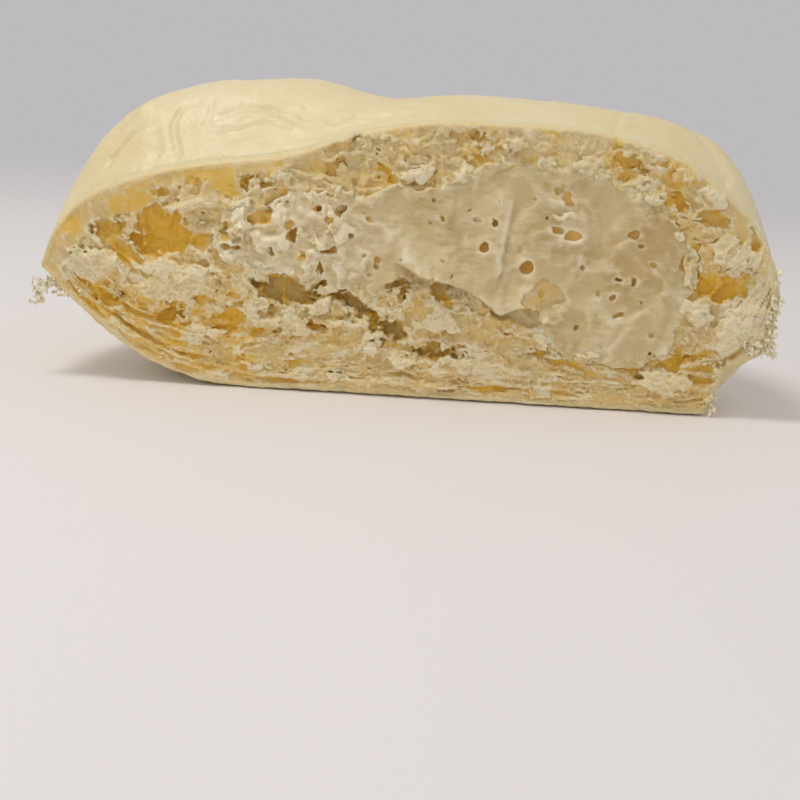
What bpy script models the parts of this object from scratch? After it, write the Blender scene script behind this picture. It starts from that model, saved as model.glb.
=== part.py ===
"""Half of a round, white-skinned cream bun, cut down the middle and lying on its base.

Two solids: the bread, with its dented dome, torn cut face and pockets, and the cream filling that
runs back into it. The cut face looks along -Y, X runs from end to end of the cut, and the origin
is at the middle of the bounding box, on the surface that the bun lies on.
"""

import math

import bmesh
import bpy
from mathutils import Matrix, Vector, noise

MM = 0.001

# Driving dimensions, in metres.
BUN_DEPTH = 50 * MM
BELLY_HEIGHT = 15 * MM
BASE_DEPTH = 38 * MM
CREAM_DEPTH = 31 * MM
CREAM_BELLY_HEIGHT = 18 * MM
CLEARANCE = 0.35 * MM

# The cut edge and the dome behind it, as (across, up) points in millimetres.
CUT_TOP = (
    (-50.5, 15), (-48.6, 20.6), (-42, 26.3), (-30, 29.9), (-18, 31.9), (-8, 35.6),
    (4, 37.6), (18, 37.7), (31, 35.6), (40, 30.6), (46.6, 23.6), (49, 16.5),
)
CUT_BOTTOM = (
    (-50.5, 15), (-46.5, 10.8), (-41, 6.2), (-34, 2.2), (-25, 0), (40.8, 0),
    (42.4, 7.4), (46.4, 8.6), (48.4, 11.4), (49, 16.5),
)
UNDERSIDE = (
    (-50.5, 15), (-47, 11), (-41, 6), (-34, 1.8), (-26, 0), (37, 0), (41, 1), (44.5, 4.4),
    (47, 9.2), (49, 16.5),
)
DOME_TOP = (
    (-50.5, 15), (-48.8, 22.6), (-44, 32), (-36, 39.2), (-25, 41.7), (-15, 41.9),
    (-4, 40.2), (8, 41.2), (22, 40.7), (32, 39.2), (39, 36), (44.6, 30), (49, 16.5),
)
CREAM_TOP = (
    (-27.5, 20.5), (-25, 24.6), (-12, 27), (0, 28.4), (10, 32.2), (20, 32.4), (28, 29.8),
    (34, 25.2), (36.8, 18),
)
CREAM_BOTTOM = (
    (-27.5, 20.5), (-22, 16.6), (-12, 15), (-2, 14.4), (8, 12.6), (16, 10), (24, 7), (30, 6.8),
    (35, 10.6), (36.8, 18),
)

# How the dome closes at the back and how far behind the cut the knife pulled the skin down.
DOME_POWER = 2.5
UNDERSIDE_POWER = 1.7
PLAN_POWER = 2.15
PRESSED_DEPTH = 7.5 * MM
TORN_DEPTH = 3.5 * MM

# Folds in the skin: a groove from one plan point (across, back) to another, in millimetres.
SKIN_FOLDS = (
    {"from": (-31, 0), "to": (-40, 26), "width": 2.2, "depth": 1.3},
    {"from": (-25, 12), "to": (-4, 20), "width": 3.0, "depth": 0.8},
    {"from": (24.5, 0), "to": (27, 30), "width": 2.4, "depth": 0.7},
    {"from": (40, 8), "to": (24, 44), "width": 2.6, "depth": 0.7},
    {"from": (-12, 30), "to": (8, 46), "width": 3.0, "depth": 0.7},
)

# Open hollows of the cut face: place and half size (across, up), depth into the bun and tilt.
BREAD_HOLLOWS = (
    {"at": (-34.4, 20.6), "half": (3.4, 3.6), "depth": 5.0, "tilt": 35},
    {"at": (-41.7, 20.4), "half": (2.6, 1.5), "depth": 3.0, "tilt": 5},
    {"at": (-33, 9.6), "half": (1.9, 1.5), "depth": 3.5, "tilt": 0},
    {"at": (-41.6, 11.9), "half": (2.5, 1.1), "depth": 2.8, "tilt": -14},
    {"at": (-32.5, 26.2), "half": (4.6, 1.3), "depth": 2.2, "tilt": 9},
    {"at": (-12.4, 30.8), "half": (2.3, 1.1), "depth": 2.4, "tilt": 8},
    {"at": (6.4, 35.6), "half": (2.6, 0.9), "depth": 2.2, "tilt": 0},
    {"at": (27.4, 33.6), "half": (2.7, 1.2), "depth": 2.6, "tilt": -30},
    {"at": (38.2, 27.6), "half": (3.0, 1.3), "depth": 2.6, "tilt": -22},
    {"at": (41.8, 18.4), "half": (3.6, 1.9), "depth": 3.6, "tilt": 0},
    {"at": (32.4, 4.2), "half": (3.2, 1.3), "depth": 3.4, "tilt": 10},
    {"at": (3.4, 7.4), "half": (4.8, 1.1), "depth": 4.6, "tilt": -3},
    {"at": (16.6, 5.6), "half": (5.0, 1.1), "depth": 2.6, "tilt": 0},
    {"at": (-24, 10.6), "half": (2.6, 0.9), "depth": 2.2, "tilt": -6},
    {"at": (-25.6, 5.2), "half": (3.0, 0.8), "depth": 1.8, "tilt": -10},
)
SHARED_HOLLOWS = (
    {"at": (-17, 14.2), "half": (4.4, 1.9), "depth": 4.2, "tilt": -4},
    {"at": (-6, 12.6), "half": (4.8, 1.7), "depth": 4.6, "tilt": -16},
    {"at": (4.4, 12.9), "half": (3.6, 1.9), "depth": 4.2, "tilt": -28},
)
CREAM_BUBBLES = (
    {"at": (14.7, 19), "half": (1.0, 1.1), "depth": 1.6, "tilt": 0},
    {"at": (17.4, 15), "half": (2.4, 1.9), "depth": 2.2, "tilt": 0},
    {"at": (-16.7, 21), "half": (1.1, 1.0), "depth": 1.4, "tilt": 0},
    {"at": (-10, 24.6), "half": (0.9, 1.1), "depth": 1.4, "tilt": 25},
    {"at": (-21.6, 21.6), "half": (2.1, 1.0), "depth": 1.6, "tilt": 20},
    {"at": (10, 24.2), "half": (0.8, 1.0), "depth": 1.2, "tilt": 0},
    {"at": (18.8, 28.4), "half": (1.5, 1.2), "depth": 1.3, "tilt": 0},
    {"at": (29, 23), "half": (1.7, 0.9), "depth": 1.2, "tilt": -30},
)

# The cream's raised lip: a crest along a bent line, proud of the cut face.
CREAM_LIP = ((-1.5, 17.6), (4, 16.6), (9, 14.6), (12.4, 13.4))
LIP_WIDTH = 2.2
LIP_HEIGHT = 1.5

# How the meshes divide: rings along X, and points round each ring.
BREAD_RINGS, BREAD_FRONT, BREAD_SKIN = 60, 24, 34
CREAM_RINGS, CREAM_FRONT, CREAM_BACK = 34, 18, 20
END_CROWDING = 0.42
EDGE_CROWDING = 1.6


def clear_scene():
    """Removes what the startup file put in the scene."""
    for obj in list(bpy.data.objects):
        bpy.data.objects.remove(obj)


def curve_at(points, across):
    """The height of a smooth curve through the points, which keeps their rises and falls."""
    last = len(points) - 1
    slopes = [
        (points[i + 1][1] - points[i][1]) / (points[i + 1][0] - points[i][0]) for i in range(last)
    ]
    across = min(max(across, points[0][0]), points[-1][0])
    i = max(k for k in range(last) if points[k][0] <= across)

    def tangent(k):
        if k in (0, last):
            return slopes[min(k, last - 1)]
        before, after = slopes[k - 1], slopes[k]
        return 0 if before * after <= 0 else 2 * before * after / (before + after)

    gap = points[i + 1][0] - points[i][0]
    t = (across - points[i][0]) / gap
    return (
        points[i][1] * (1 + 2 * t) * (1 - t) ** 2
        + points[i + 1][1] * (3 - 2 * t) * t**2
        + gap * (tangent(i) * t * (1 - t) ** 2 - tangent(i + 1) * t**2 * (1 - t))
    )


def height_at(points, x):
    """The same curve in metres, at x metres."""
    return curve_at(points, x / MM) * MM


def line_distance(px, py, start, end):
    """The distance from a point to a straight piece, and how far along it the nearest spot is."""
    dx, dy = end[0] - start[0], end[1] - start[1]
    along = ((px - start[0]) * dx + (py - start[1]) * dy) / (dx * dx + dy * dy)
    along = min(max(along, 0), 1)
    return math.hypot(px - start[0] - along * dx, py - start[1] - along * dy), along


def fold_depth(x, y):
    """How deep the skin's folds are at a plan point."""
    total = 0
    for fold in SKIN_FOLDS:
        away, along = line_distance(x / MM, y / MM, fold["from"], fold["to"])
        fade = 1 - 0.75 * along
        total += fold["depth"] * fade * math.exp(-((away / fold["width"]) ** 2))
    return total * MM


def lumps(x, y, z, size, height):
    """A smooth unevenness of the given size and height."""
    return height * noise.fractal(Vector((x, y, z)) / size, 1.0, 2.0, 3)


def plan_depth(x, ends, depth):
    """How far back the body reaches at x, on a rounded plan between its two ends."""
    middle, half = (ends[0] + ends[1]) / 2, (ends[1] - ends[0]) / 2
    share = min(abs(x - middle) / half, 1)
    return depth * (1 - share**PLAN_POWER) ** (1 / PLAN_POWER)


def bread_section(x, ends, turn):
    """A point of the bread's section at x: turn runs 0 to 1 up the cut face and 1 to 3 round the skin.

    From 1 to 2 it goes over the dome to the back, and from 2 to 3 it returns along the underside.
    """
    top, torn = height_at(CUT_TOP, x), height_at(CUT_BOTTOM, x)
    if turn <= 1:
        return 0.0, torn + (top - torn) * turn
    dome, bottom = height_at(DOME_TOP, x), height_at(UNDERSIDE, x)
    belly = min(BELLY_HEIGHT, (dome + bottom) / 2)
    depth = plan_depth(x, ends, BUN_DEPTH)
    if turn <= 2:
        angle = (turn - 1) * math.pi / 2
        y = depth * math.sin(angle) ** (2 / DOME_POWER)
        z = belly + (dome - belly) * max(math.cos(angle), 0) ** (2 / DOME_POWER)
        z -= (dome - top) * math.exp(-((y / PRESSED_DEPTH) ** 2))
        return y, max(z - fold_depth(x, y) * math.cos(angle), belly)
    flat = min(plan_depth(x, (ends[0] * 0.84, ends[1] * 0.95), BASE_DEPTH), depth * 0.86)
    share = turn - 2
    if share < 0.5:
        angle = share * math.pi
        y = flat + (depth - flat) * math.cos(angle) ** (2 / UNDERSIDE_POWER)
        return y, bottom + (belly - bottom) * (1 - math.sin(angle) ** (2 / UNDERSIDE_POWER))
    y = flat * 2 * (1 - share)
    return y, bottom + (torn - bottom) * math.exp(-((y / TORN_DEPTH) ** 2))


def cream_section(x, ends, turn):
    """A point of the cream's section at x: 0 to 1 up its face, and 1 to 3 round its buried back."""
    top, bottom = height_at(CREAM_TOP, x), height_at(CREAM_BOTTOM, x)
    if turn <= 1:
        return 0.0, bottom + (top - bottom) * turn
    depth = plan_depth(x, ends, CREAM_DEPTH)
    angle = (turn - 1) * math.pi / 2
    middle = (top + bottom) / 2
    return depth * math.sin(angle), middle + (top - bottom) / 2 * math.cos(angle)


def turns(front, back, crowding):
    """Where the points of a ring lie: evenly up the face, then round the back.

    The first points behind the top edge are crowded towards it.
    """
    shares = [2 * i / back for i in range(back)]
    return [i / front for i in range(front)] + [
        1 + (share**crowding if share < 1 else share) for share in shares
    ]


def lofted_body(name, section, ends, rings, front, back, crowding):
    """A sphere whose poles are the ends of the cut, with each ring moved onto its section."""
    mesh = bpy.data.meshes.new(name)
    work = bmesh.new()
    around = front + back
    bmesh.ops.create_uvsphere(work, u_segments=around, v_segments=rings, radius=1)
    places = turns(front, back, crowding)
    middle, half = (ends[0] + ends[1]) / 2, (ends[1] - ends[0]) / 2
    for vert in work.verts:
        latitude = math.asin(max(-1, min(1, vert.co.z)))
        share = END_CROWDING * math.sin(latitude) + (1 - END_CROWDING) * latitude / (math.pi / 2)
        x = middle + half * share
        step = math.floor(math.atan2(vert.co.y, vert.co.x) / (2 * math.pi) * around + 0.25) % around
        y, z = section(x, ends, places[step])
        vert.co = (x, y, z)
    work.normal_update()
    bmesh.ops.recalc_face_normals(work, faces=work.faces)
    work.to_mesh(mesh)
    work.free()
    obj = bpy.data.objects.new(name, mesh)
    bpy.context.scene.collection.objects.link(obj)
    return obj


def face_relief(obj, ends, size, height, extra=None):
    """Moves the points of the cut face in and out by a torn unevenness that fades at the ends."""
    for vert in obj.data.vertices:
        x, y, z = vert.co
        if y < 0.01 * MM:
            fade = min(1, (x - ends[0]) / (6 * MM), (ends[1] - x) / (6 * MM))
            rise = lumps(x, y, z, size, height) + (extra(x, z) if extra else 0)
            vert.co.y = y - max(fade, 0) * rise


def main_ends(points):
    """The two ends of an outline, in metres."""
    return points[0][0] * MM, points[-1][0] * MM


def make_bread():
    """The bread before its pocket and hollows are cut."""
    ends = main_ends(CUT_TOP)
    bread = lofted_body(
        "bread", bread_section, ends, BREAD_RINGS, BREAD_FRONT, BREAD_SKIN, EDGE_CROWDING
    )
    for vert in bread.data.vertices:
        x, y, z = vert.co
        if y > 2 * MM and z > 3 * MM:
            vert.co += Vector((0, 0.5, 1)) * lumps(x, y, z, 17 * MM, 0.45 * MM)
    face_relief(bread, ends, 4.4 * MM, 0.95 * MM)
    return bread


def lip_height(x, z):
    """How far the cream's crest stands proud at a point of its face."""
    nearest = min(
        line_distance(x / MM, z / MM, CREAM_LIP[i], CREAM_LIP[i + 1])[0]
        for i in range(len(CREAM_LIP) - 1)
    )
    return LIP_HEIGHT * MM * math.exp(-((nearest / LIP_WIDTH) ** 2))


def make_cream(name):
    """The cream before its bubbles are cut."""
    return lofted_body(
        name, cream_section, main_ends(CREAM_TOP), CREAM_RINGS, CREAM_FRONT, CREAM_BACK, 1
    )




def make_pocket_cutter(cutters):
    """The space for the cream: its body grown by the clearance and drawn out past the cut face."""
    pocket = make_cream("pocket_cutter")
    work = bmesh.new()
    work.from_mesh(pocket.data)
    work.normal_update()
    face = [face for face in work.faces if all(vert.co.y < 0.001 * MM for vert in face.verts)]
    for vert, normal in [(vert, vert.normal.copy()) for vert in work.verts]:
        vert.co += Vector((normal.x, max(normal.y, 0), normal.z)).normalized() * CLEARANCE
    drawn = bmesh.ops.extrude_face_region(work, geom=face)["geom"]
    bmesh.ops.delete(work, geom=face, context="FACES")
    verts = [item for item in drawn if isinstance(item, bmesh.types.BMVert)]
    bmesh.ops.translate(work, vec=(0, -6 * MM, 0), verts=verts)
    work.to_mesh(pocket.data)
    work.free()
    move_to(pocket, cutters)


def make_hollow_cutter(name, hollow, *groups):
    """A rounded lump that leaves one open hollow in the cut face of each group's body."""
    bpy.ops.mesh.primitive_ico_sphere_add(subdivisions=2, radius=1)
    lump = bpy.context.active_object
    lump.name = name
    across, up = hollow["half"]
    scale = Matrix.Diagonal((across * MM, hollow["depth"] * MM, up * MM, 1))
    turn = Matrix.Rotation(-math.radians(hollow["tilt"]), 4, "Y")
    lump.data.transform(turn @ scale)
    place = Vector((hollow["at"][0] * MM, 0, hollow["at"][1] * MM))
    for vert in lump.data.vertices:
        spot = vert.co + place
        swell = 1 + 0.4 * noise.noise(spot / (2.2 * MM))
        vert.co = vert.co * swell
    lump.location = place
    move_to(lump, *groups)


def move_to(obj, *groups):
    """Puts an object in the given collections only, and marks it as a helper."""
    for other in list(obj.users_collection):
        other.objects.unlink(obj)
    for group in groups:
        group.objects.link(obj)
    obj.hide_render = True
    obj.display_type = "WIRE"


def helper_collection(name):
    """A collection for cutters."""
    collection = bpy.data.collections.new(name)
    bpy.context.scene.collection.children.link(collection)
    return collection


def cut_with(obj, collection):
    """Takes everything in the collection out of the object, in one Boolean."""
    cut = obj.modifiers.new(f"cut_{collection.name}", "BOOLEAN")
    cut.operation = "DIFFERENCE"
    cut.operand_type = "COLLECTION"
    cut.collection = collection
    cut.solver = "EXACT"


def centre_on_origin(bodies, helpers):
    """Moves everything so that the middle of the bodies' box is above the origin."""
    corners = [Vector(corner) for body in bodies for corner in body.bound_box]
    middle = [(min(c[i] for c in corners) + max(c[i] for c in corners)) / 2 for i in (0, 1)]
    shift = Vector((-middle[0], -middle[1], 0))
    for body in bodies:
        body.data.transform(Matrix.Translation(shift))
    for helper in helpers:
        helper.location += shift


def finish_material(name, colour, roughness):
    """A plain matt food finish."""
    material = bpy.data.materials.new(name)
    material.use_nodes = True
    shader = material.node_tree.nodes["Principled BSDF"]
    shader.inputs["Base Color"].default_value = (*colour, 1)
    shader.inputs["Roughness"].default_value = roughness
    shader.inputs["Metallic"].default_value = 0
    return material


def main():
    """Builds the half bun, its cream, and the helpers that cut them."""
    clear_scene()
    bun = helper_collection("half_cream_bun")
    bread_cutters = helper_collection("bread_cutters")
    cream_cutters = helper_collection("cream_cutters")

    bread = make_bread()
    cream = make_cream("cream")
    face_relief(cream, main_ends(CREAM_TOP), 9 * MM, 0.7 * MM, lip_height)
    make_pocket_cutter(bread_cutters)
    for number, hollow in enumerate(BREAD_HOLLOWS):
        make_hollow_cutter(f"bread_hollow_{number:02d}", hollow, bread_cutters)
    for number, hollow in enumerate(SHARED_HOLLOWS):
        make_hollow_cutter(f"shared_hollow_{number:02d}", hollow, bread_cutters, cream_cutters)
    for number, bubble in enumerate(CREAM_BUBBLES):
        make_hollow_cutter(f"cream_bubble_{number:02d}", bubble, cream_cutters)

    for obj in (bread, cream):
        for other in list(obj.users_collection):
            other.objects.unlink(obj)
        bun.objects.link(obj)
        obj.data.shade_smooth()
    centre_on_origin((bread, cream), {*bread_cutters.objects, *cream_cutters.objects})
    cut_with(bread, bread_cutters)
    cut_with(cream, cream_cutters)
    bread.data.materials.append(finish_material("soft_bread", (0.86, 0.76, 0.48), 0.55))
    cream.data.materials.append(finish_material("whipped_cream", (0.80, 0.72, 0.52), 0.4))


main()
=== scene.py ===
"""The looks of half a cream bun: its creased skin, torn crumb, bubbly cream and loose crumbs.

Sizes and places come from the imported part. The outlines below repeat the part's own driving
values, with slightly fuller shoulders on the dome. They are in millimetres from the foot of the
cut: x across it, y into the bun and z up.
"""

import logging
import math
from collections.abc import Callable
from dataclasses import dataclass
from enum import Enum

import bpy
import numpy as np
from mathutils import Matrix, Vector, noise


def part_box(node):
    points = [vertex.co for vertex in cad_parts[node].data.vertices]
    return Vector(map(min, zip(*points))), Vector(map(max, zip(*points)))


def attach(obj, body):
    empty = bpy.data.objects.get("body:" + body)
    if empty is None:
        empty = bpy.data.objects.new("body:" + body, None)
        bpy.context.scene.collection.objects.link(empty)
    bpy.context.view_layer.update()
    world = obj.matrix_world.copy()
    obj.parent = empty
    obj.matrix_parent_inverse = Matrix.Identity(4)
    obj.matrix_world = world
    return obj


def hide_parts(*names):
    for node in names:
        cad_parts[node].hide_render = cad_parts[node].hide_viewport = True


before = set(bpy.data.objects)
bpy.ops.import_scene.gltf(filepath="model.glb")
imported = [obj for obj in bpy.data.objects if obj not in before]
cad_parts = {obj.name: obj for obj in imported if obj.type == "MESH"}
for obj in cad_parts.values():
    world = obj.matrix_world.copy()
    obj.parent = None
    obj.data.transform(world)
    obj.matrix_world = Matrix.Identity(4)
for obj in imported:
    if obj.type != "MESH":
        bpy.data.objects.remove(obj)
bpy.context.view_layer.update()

MM = 0.001
ROOT_BODY = "root"
CURVE_POINTS = 96
FLOOR_SIDES = 96
LOG = logging.getLogger("cream_bun")

Socket = bpy.types.NodeSocket
Triple = tuple[float, float, float]
Pair = tuple[float, float]
Colour = Triple


class Slot(Enum):
    """The record's material slots."""

    BREAD = "bread"
    CREAM = "cream"


class Attribute(Enum):
    """The named values that the meshes carry for their finishes."""

    # Some of these carry painted light: the pit value a painted amber glow in the depths, the crest
    # value painted highlights on ridges and painted shade in creases, a painted glow near the
    # crumb's top, painted highlights in the cream's frost, and painted shade in the caverns.
    FROST = "frost"
    PIT = "pit"
    CREST = "crest"
    RIND_AND_TOP_GLOW = "rind_and_top_glow"
    CAVERN_SHADE = "cavern_shade"


# ---------------------------------------------------------------------------------------------
# The part's own form
# ---------------------------------------------------------------------------------------------


@dataclass(frozen=True)
class Outline:
    """A smooth curve through a few (across, up) points that keeps their rises and falls."""

    points: tuple[Pair, ...]

    @property
    def start(self) -> float:
        """Where the curve starts."""
        return self.points[0][0]

    @property
    def end(self) -> float:
        """Where the curve ends."""
        return self.points[-1][0]

    def _tangents(self) -> list[float]:
        """The slope at each point: none at a peak or a dip."""
        pairs = zip(self.points, self.points[1:])
        slopes = [(b[1] - a[1]) / (b[0] - a[0]) for a, b in pairs]
        inner = [0 if s * t <= 0 else 2 * s * t / (s + t) for s, t in zip(slopes, slopes[1:])]
        return [slopes[0], *inner, slopes[-1]]

    def at(self, across: float) -> float:
        """The height of the curve.

        Args:
            across: the place along it, held within the curve's ends.

        Returns:
            The height there.
        """
        across = min(max(across, self.start), self.end)
        i = max(k for k in range(len(self.points) - 1) if self.points[k][0] <= across)
        (left, low), (right, high) = self.points[i], self.points[i + 1]
        tangents = self._tangents()
        gap = right - left
        t = (across - left) / gap
        return (
            low * (1 + 2 * t) * (1 - t) ** 2
            + high * (3 - 2 * t) * t**2
            + gap * (tangents[i] * t * (1 - t) ** 2 - tangents[i + 1] * t**2 * (1 - t))
        )

    def steepness(self, across: float) -> float:
        """How much a height difference shrinks when measured square to the curve."""
        step = 0.25
        slope = (self.at(across + step) - self.at(across - step)) / (2 * step)
        return 1 / math.sqrt(1 + slope**2)


@dataclass(frozen=True)
class Spot:
    """A rounded hole or lump: its place, its half size across and up, its depth, and its slope.

    The slope is in degrees, and positive where the spot falls to the right.
    """

    at: Pair
    half: Pair
    depth: float
    slope: float = 0.0


def spots(*rows: tuple[float, ...]) -> tuple[Spot, ...]:
    """Spots from rows of place across and up, half size across and up, depth and slope."""
    return tuple(Spot((x, z), (wide, tall), *rest) for x, z, wide, tall, *rest in rows)


@dataclass(frozen=True)
class BunForm:
    """The half bun's outlines and sizes, as the part has them."""

    cut_top: Outline = Outline((
        (-50.5, 15), (-48.6, 20.6), (-42, 26.3), (-30, 29.9), (-18, 31.9), (-8, 35.6),
        (4, 37.6), (18, 37.7), (31, 35.6), (40, 30.6), (46.6, 23.6), (49, 16.5),
    ))
    cut_bottom: Outline = Outline((
        (-50.5, 15), (-46.5, 10.8), (-41, 6.2), (-34, 2.2), (-25, 0), (40.8, 0),
        (42.4, 7.4), (46.4, 8.6), (48.4, 11.4), (49, 16.5),
    ))
    underside: Outline = Outline((
        (-50.5, 15), (-47, 11), (-41, 6), (-34, 1.8), (-26, 0), (37, 0), (41, 1), (44.5, 4.4),
        (47, 9.2), (49, 16.5),
    ))
    dome_top: Outline = Outline((
        (-50.5, 15), (-49.6, 22.4), (-47.8, 28.4), (-44, 34), (-36, 39.5), (-25, 41.7),
        (-15, 41.9), (-4, 40.2), (8, 41.2), (22, 40.7), (32, 39.8), (39, 38), (43.2, 35),
        (46.8, 29), (48.3, 23.4), (49, 16.5),
    ))
    cream_top: Outline = Outline((
        (-27.5, 20.5), (-25, 24.6), (-12, 27), (0, 28.4), (10, 32.2), (20, 32.4), (28, 29.8),
        (34, 25.2), (36.8, 18),
    ))
    cream_bottom: Outline = Outline((
        (-27.5, 20.5), (-22, 16.6), (-12, 15), (-2, 14.4), (8, 12.6), (16, 10), (24, 7),
        (30, 6.8), (35, 10.6), (36.8, 18),
    ))
    depth: float = 50.0
    belly: float = 15.0
    lowest_widest: float = 0.15
    base_depth: float = 38.0
    base_ends: Pair = (0.84, 0.95)
    base_share: Pair = (0.2, 0.86)
    dome_power: float = 2.5
    underside_power: float = 1.7
    plan_power: float = 2.15
    pressed_depth: float = 7.5
    torn_depth: float = 3.5

    @property
    def ends(self) -> Pair:
        """The two ends of the cut."""
        return self.cut_top.start, self.cut_top.end

    def from_ends(self, x: np.ndarray) -> np.ndarray:
        """How far in from the nearer end of the cut each place is."""
        return np.minimum(x - self.ends[0], self.ends[1] - x)

    def plan_depth(self, x: float, ends: Pair, depth: float) -> float:
        """How far back a rounded plan between two ends reaches at x."""
        middle, half = (ends[0] + ends[1]) / 2, (ends[1] - ends[0]) / 2
        share = min(abs(x - middle) / half, 1)
        return depth * (1 - share**self.plan_power) ** (1 / self.plan_power)

    def widest_height(self, x: float) -> float:
        """How high the widest part of the section at x stands, inside the section."""
        dome, bottom = self.dome_top.at(x), self.underside.at(x)
        lowest = bottom + self.lowest_widest * (dome - bottom)
        return min(max(self.belly, lowest), (dome + bottom) / 2)

    def dome_point(self, x: float, share: float) -> Pair:
        """A point of the dome at x: share runs from 0 at the cut edge to 1 at the belly's back."""
        top, dome = self.cut_top.at(x), self.dome_top.at(x)
        belly = self.widest_height(x)
        angle = share * math.pi / 2
        y = self.plan_depth(x, self.ends, self.depth) * math.sin(angle) ** (2 / self.dome_power)
        crown = dome - (dome - top) * math.exp(-((y / self.pressed_depth) ** 2))
        z = belly + (crown - belly) * max(math.cos(angle), 0) ** (2 / self.dome_power)
        return y, max(z, belly)

    def underside_point(self, x: float, share: float) -> Pair:
        """A point of the underside at x: share runs from 0 at the belly's back to 1 at the cut."""
        bottom, belly = self.underside.at(x), self.widest_height(x)
        depth = self.plan_depth(x, self.ends, self.depth)
        ends = (self.ends[0] * self.base_ends[0], self.ends[1] * self.base_ends[1])
        least, most = (depth * limit for limit in self.base_share)
        flat = min(max(self.plan_depth(x, ends, self.base_depth), least), most)
        if share < 0.5:
            angle = share * math.pi
            y = flat + (depth - flat) * math.cos(angle) ** (2 / self.underside_power)
            rise = 1 - math.sin(angle) ** (2 / self.underside_power)
            return y, bottom + (belly - bottom) * rise
        y = flat * 2 * (1 - share)
        torn = self.cut_bottom.at(x)
        return y, bottom + (torn - bottom) * math.exp(-((y / self.torn_depth) ** 2))

    def shift(self) -> Vector:
        """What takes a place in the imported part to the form's own place, in metres."""
        low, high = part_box("bread")
        return Vector((self.ends[0] * MM - low.x, self.depth * MM - high.y, -low.z))


FORM = BunForm()


# ---------------------------------------------------------------------------------------------
# Node graphs written as formulas
# ---------------------------------------------------------------------------------------------


class Field:
    """A number at every point, made of Math nodes and written with ordinary operators."""

    def __init__(self, graph: "Graph", socket: Socket) -> None:
        """Keeps the graph and the socket that gives the number."""
        self.graph = graph
        self.socket = socket

    def __add__(self, other: "Field | float") -> "Field":
        """The sum."""
        return self.graph.math("ADD", self, other)

    __radd__ = __add__

    def __sub__(self, other: "Field | float") -> "Field":
        """The difference."""
        return self.graph.math("SUBTRACT", self, other)

    def __rsub__(self, other: float) -> "Field":
        """The difference from a plain number."""
        return self.graph.math("SUBTRACT", other, self)

    def __mul__(self, other: "Field | float") -> "Field":
        """The product."""
        return self.graph.math("MULTIPLY", self, other)

    __rmul__ = __mul__

    def __neg__(self) -> "Field":
        """The number with its sign turned."""
        return self.graph.math("MULTIPLY", self, -1.0)

    def min(self, other: "Field | float") -> "Field":
        """The lesser of two."""
        return self.graph.math("MINIMUM", self, other)

    def max(self, other: "Field | float") -> "Field":
        """The greater of two."""
        return self.graph.math("MAXIMUM", self, other)

    def smooth_max(self, other: "Field | float", radius: float) -> "Field":
        """The greater of two, with the edge between them rounded."""
        return self.graph.math("SMOOTH_MAX", self, other, radius)

    def abs(self) -> "Field":
        """The number without its sign."""
        return self.graph.math("ABSOLUTE", self)

    def power(self, exponent: float) -> "Field":
        """The number to a power."""
        return self.graph.math("POWER", self, exponent)

    def bell(self, width: float) -> "Field":
        """1 where the number is 0, falling smoothly to 0 past the width."""
        share = self * (1 / width)
        return self.graph.math("EXPONENT", -(share * share))

    def step(self, low: float, high: float, start: float = 0.0, end: float = 1.0) -> "Field":
        """A smooth step from start to end as the number goes from low to high."""
        node = self.graph.add("ShaderNodeMapRange", interpolation_type="SMOOTHSTEP")
        bounds = {"From Min": low, "From Max": high, "To Min": start, "To Max": end}
        for name, value in bounds.items():
            node.inputs[name].default_value = value
        self.graph.join(self, node.inputs["Value"])
        return Field(self.graph, node.outputs["Result"])


class Vec:
    """A vector at every point, made of Vector Math nodes."""

    def __init__(self, graph: "Graph", socket: Socket) -> None:
        """Keeps the graph and the socket that gives the vector."""
        self.graph = graph
        self.socket = socket

    def __add__(self, other: "Vec | Triple") -> "Vec":
        """The sum."""
        return self.graph.vector_math("ADD", self, other)

    def __sub__(self, other: "Vec | Triple") -> "Vec":
        """The difference."""
        return self.graph.vector_math("SUBTRACT", self, other)

    def times(self, other: "Vec | Triple") -> "Vec":
        """Each part multiplied by its own factor."""
        return self.graph.vector_math("MULTIPLY", self, other)

    def scaled(self, factor: "Field | float") -> "Vec":
        """The vector made longer or shorter."""
        node = self.graph.add("ShaderNodeVectorMath", operation="SCALE")
        self.graph.join(self, node.inputs[0])
        self.graph.join(factor, node.inputs["Scale"])
        return Vec(self.graph, node.outputs["Vector"])

    def dot(self, other: "Vec") -> Field:
        """The dot product."""
        return self.graph.vector_math("DOT_PRODUCT", self, other)

    def length(self) -> Field:
        """How long the vector is."""
        return self.graph.vector_math("LENGTH", self)

    def turned(self, degrees: float) -> "Vec":
        """The vector turned about Y."""
        node = self.graph.add("ShaderNodeVectorRotate", rotation_type="Y_AXIS")
        self.graph.join(self, node.inputs["Vector"])
        node.inputs["Angle"].default_value = math.radians(degrees)
        return Vec(self.graph, node.outputs["Vector"])

    def parts(self) -> tuple[Field, Field, Field]:
        """The three numbers in it."""
        node = self.graph.add("ShaderNodeSeparateXYZ")
        self.graph.join(self, node.inputs["Vector"])
        return tuple(Field(self.graph, node.outputs[name]) for name in "XYZ")


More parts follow.
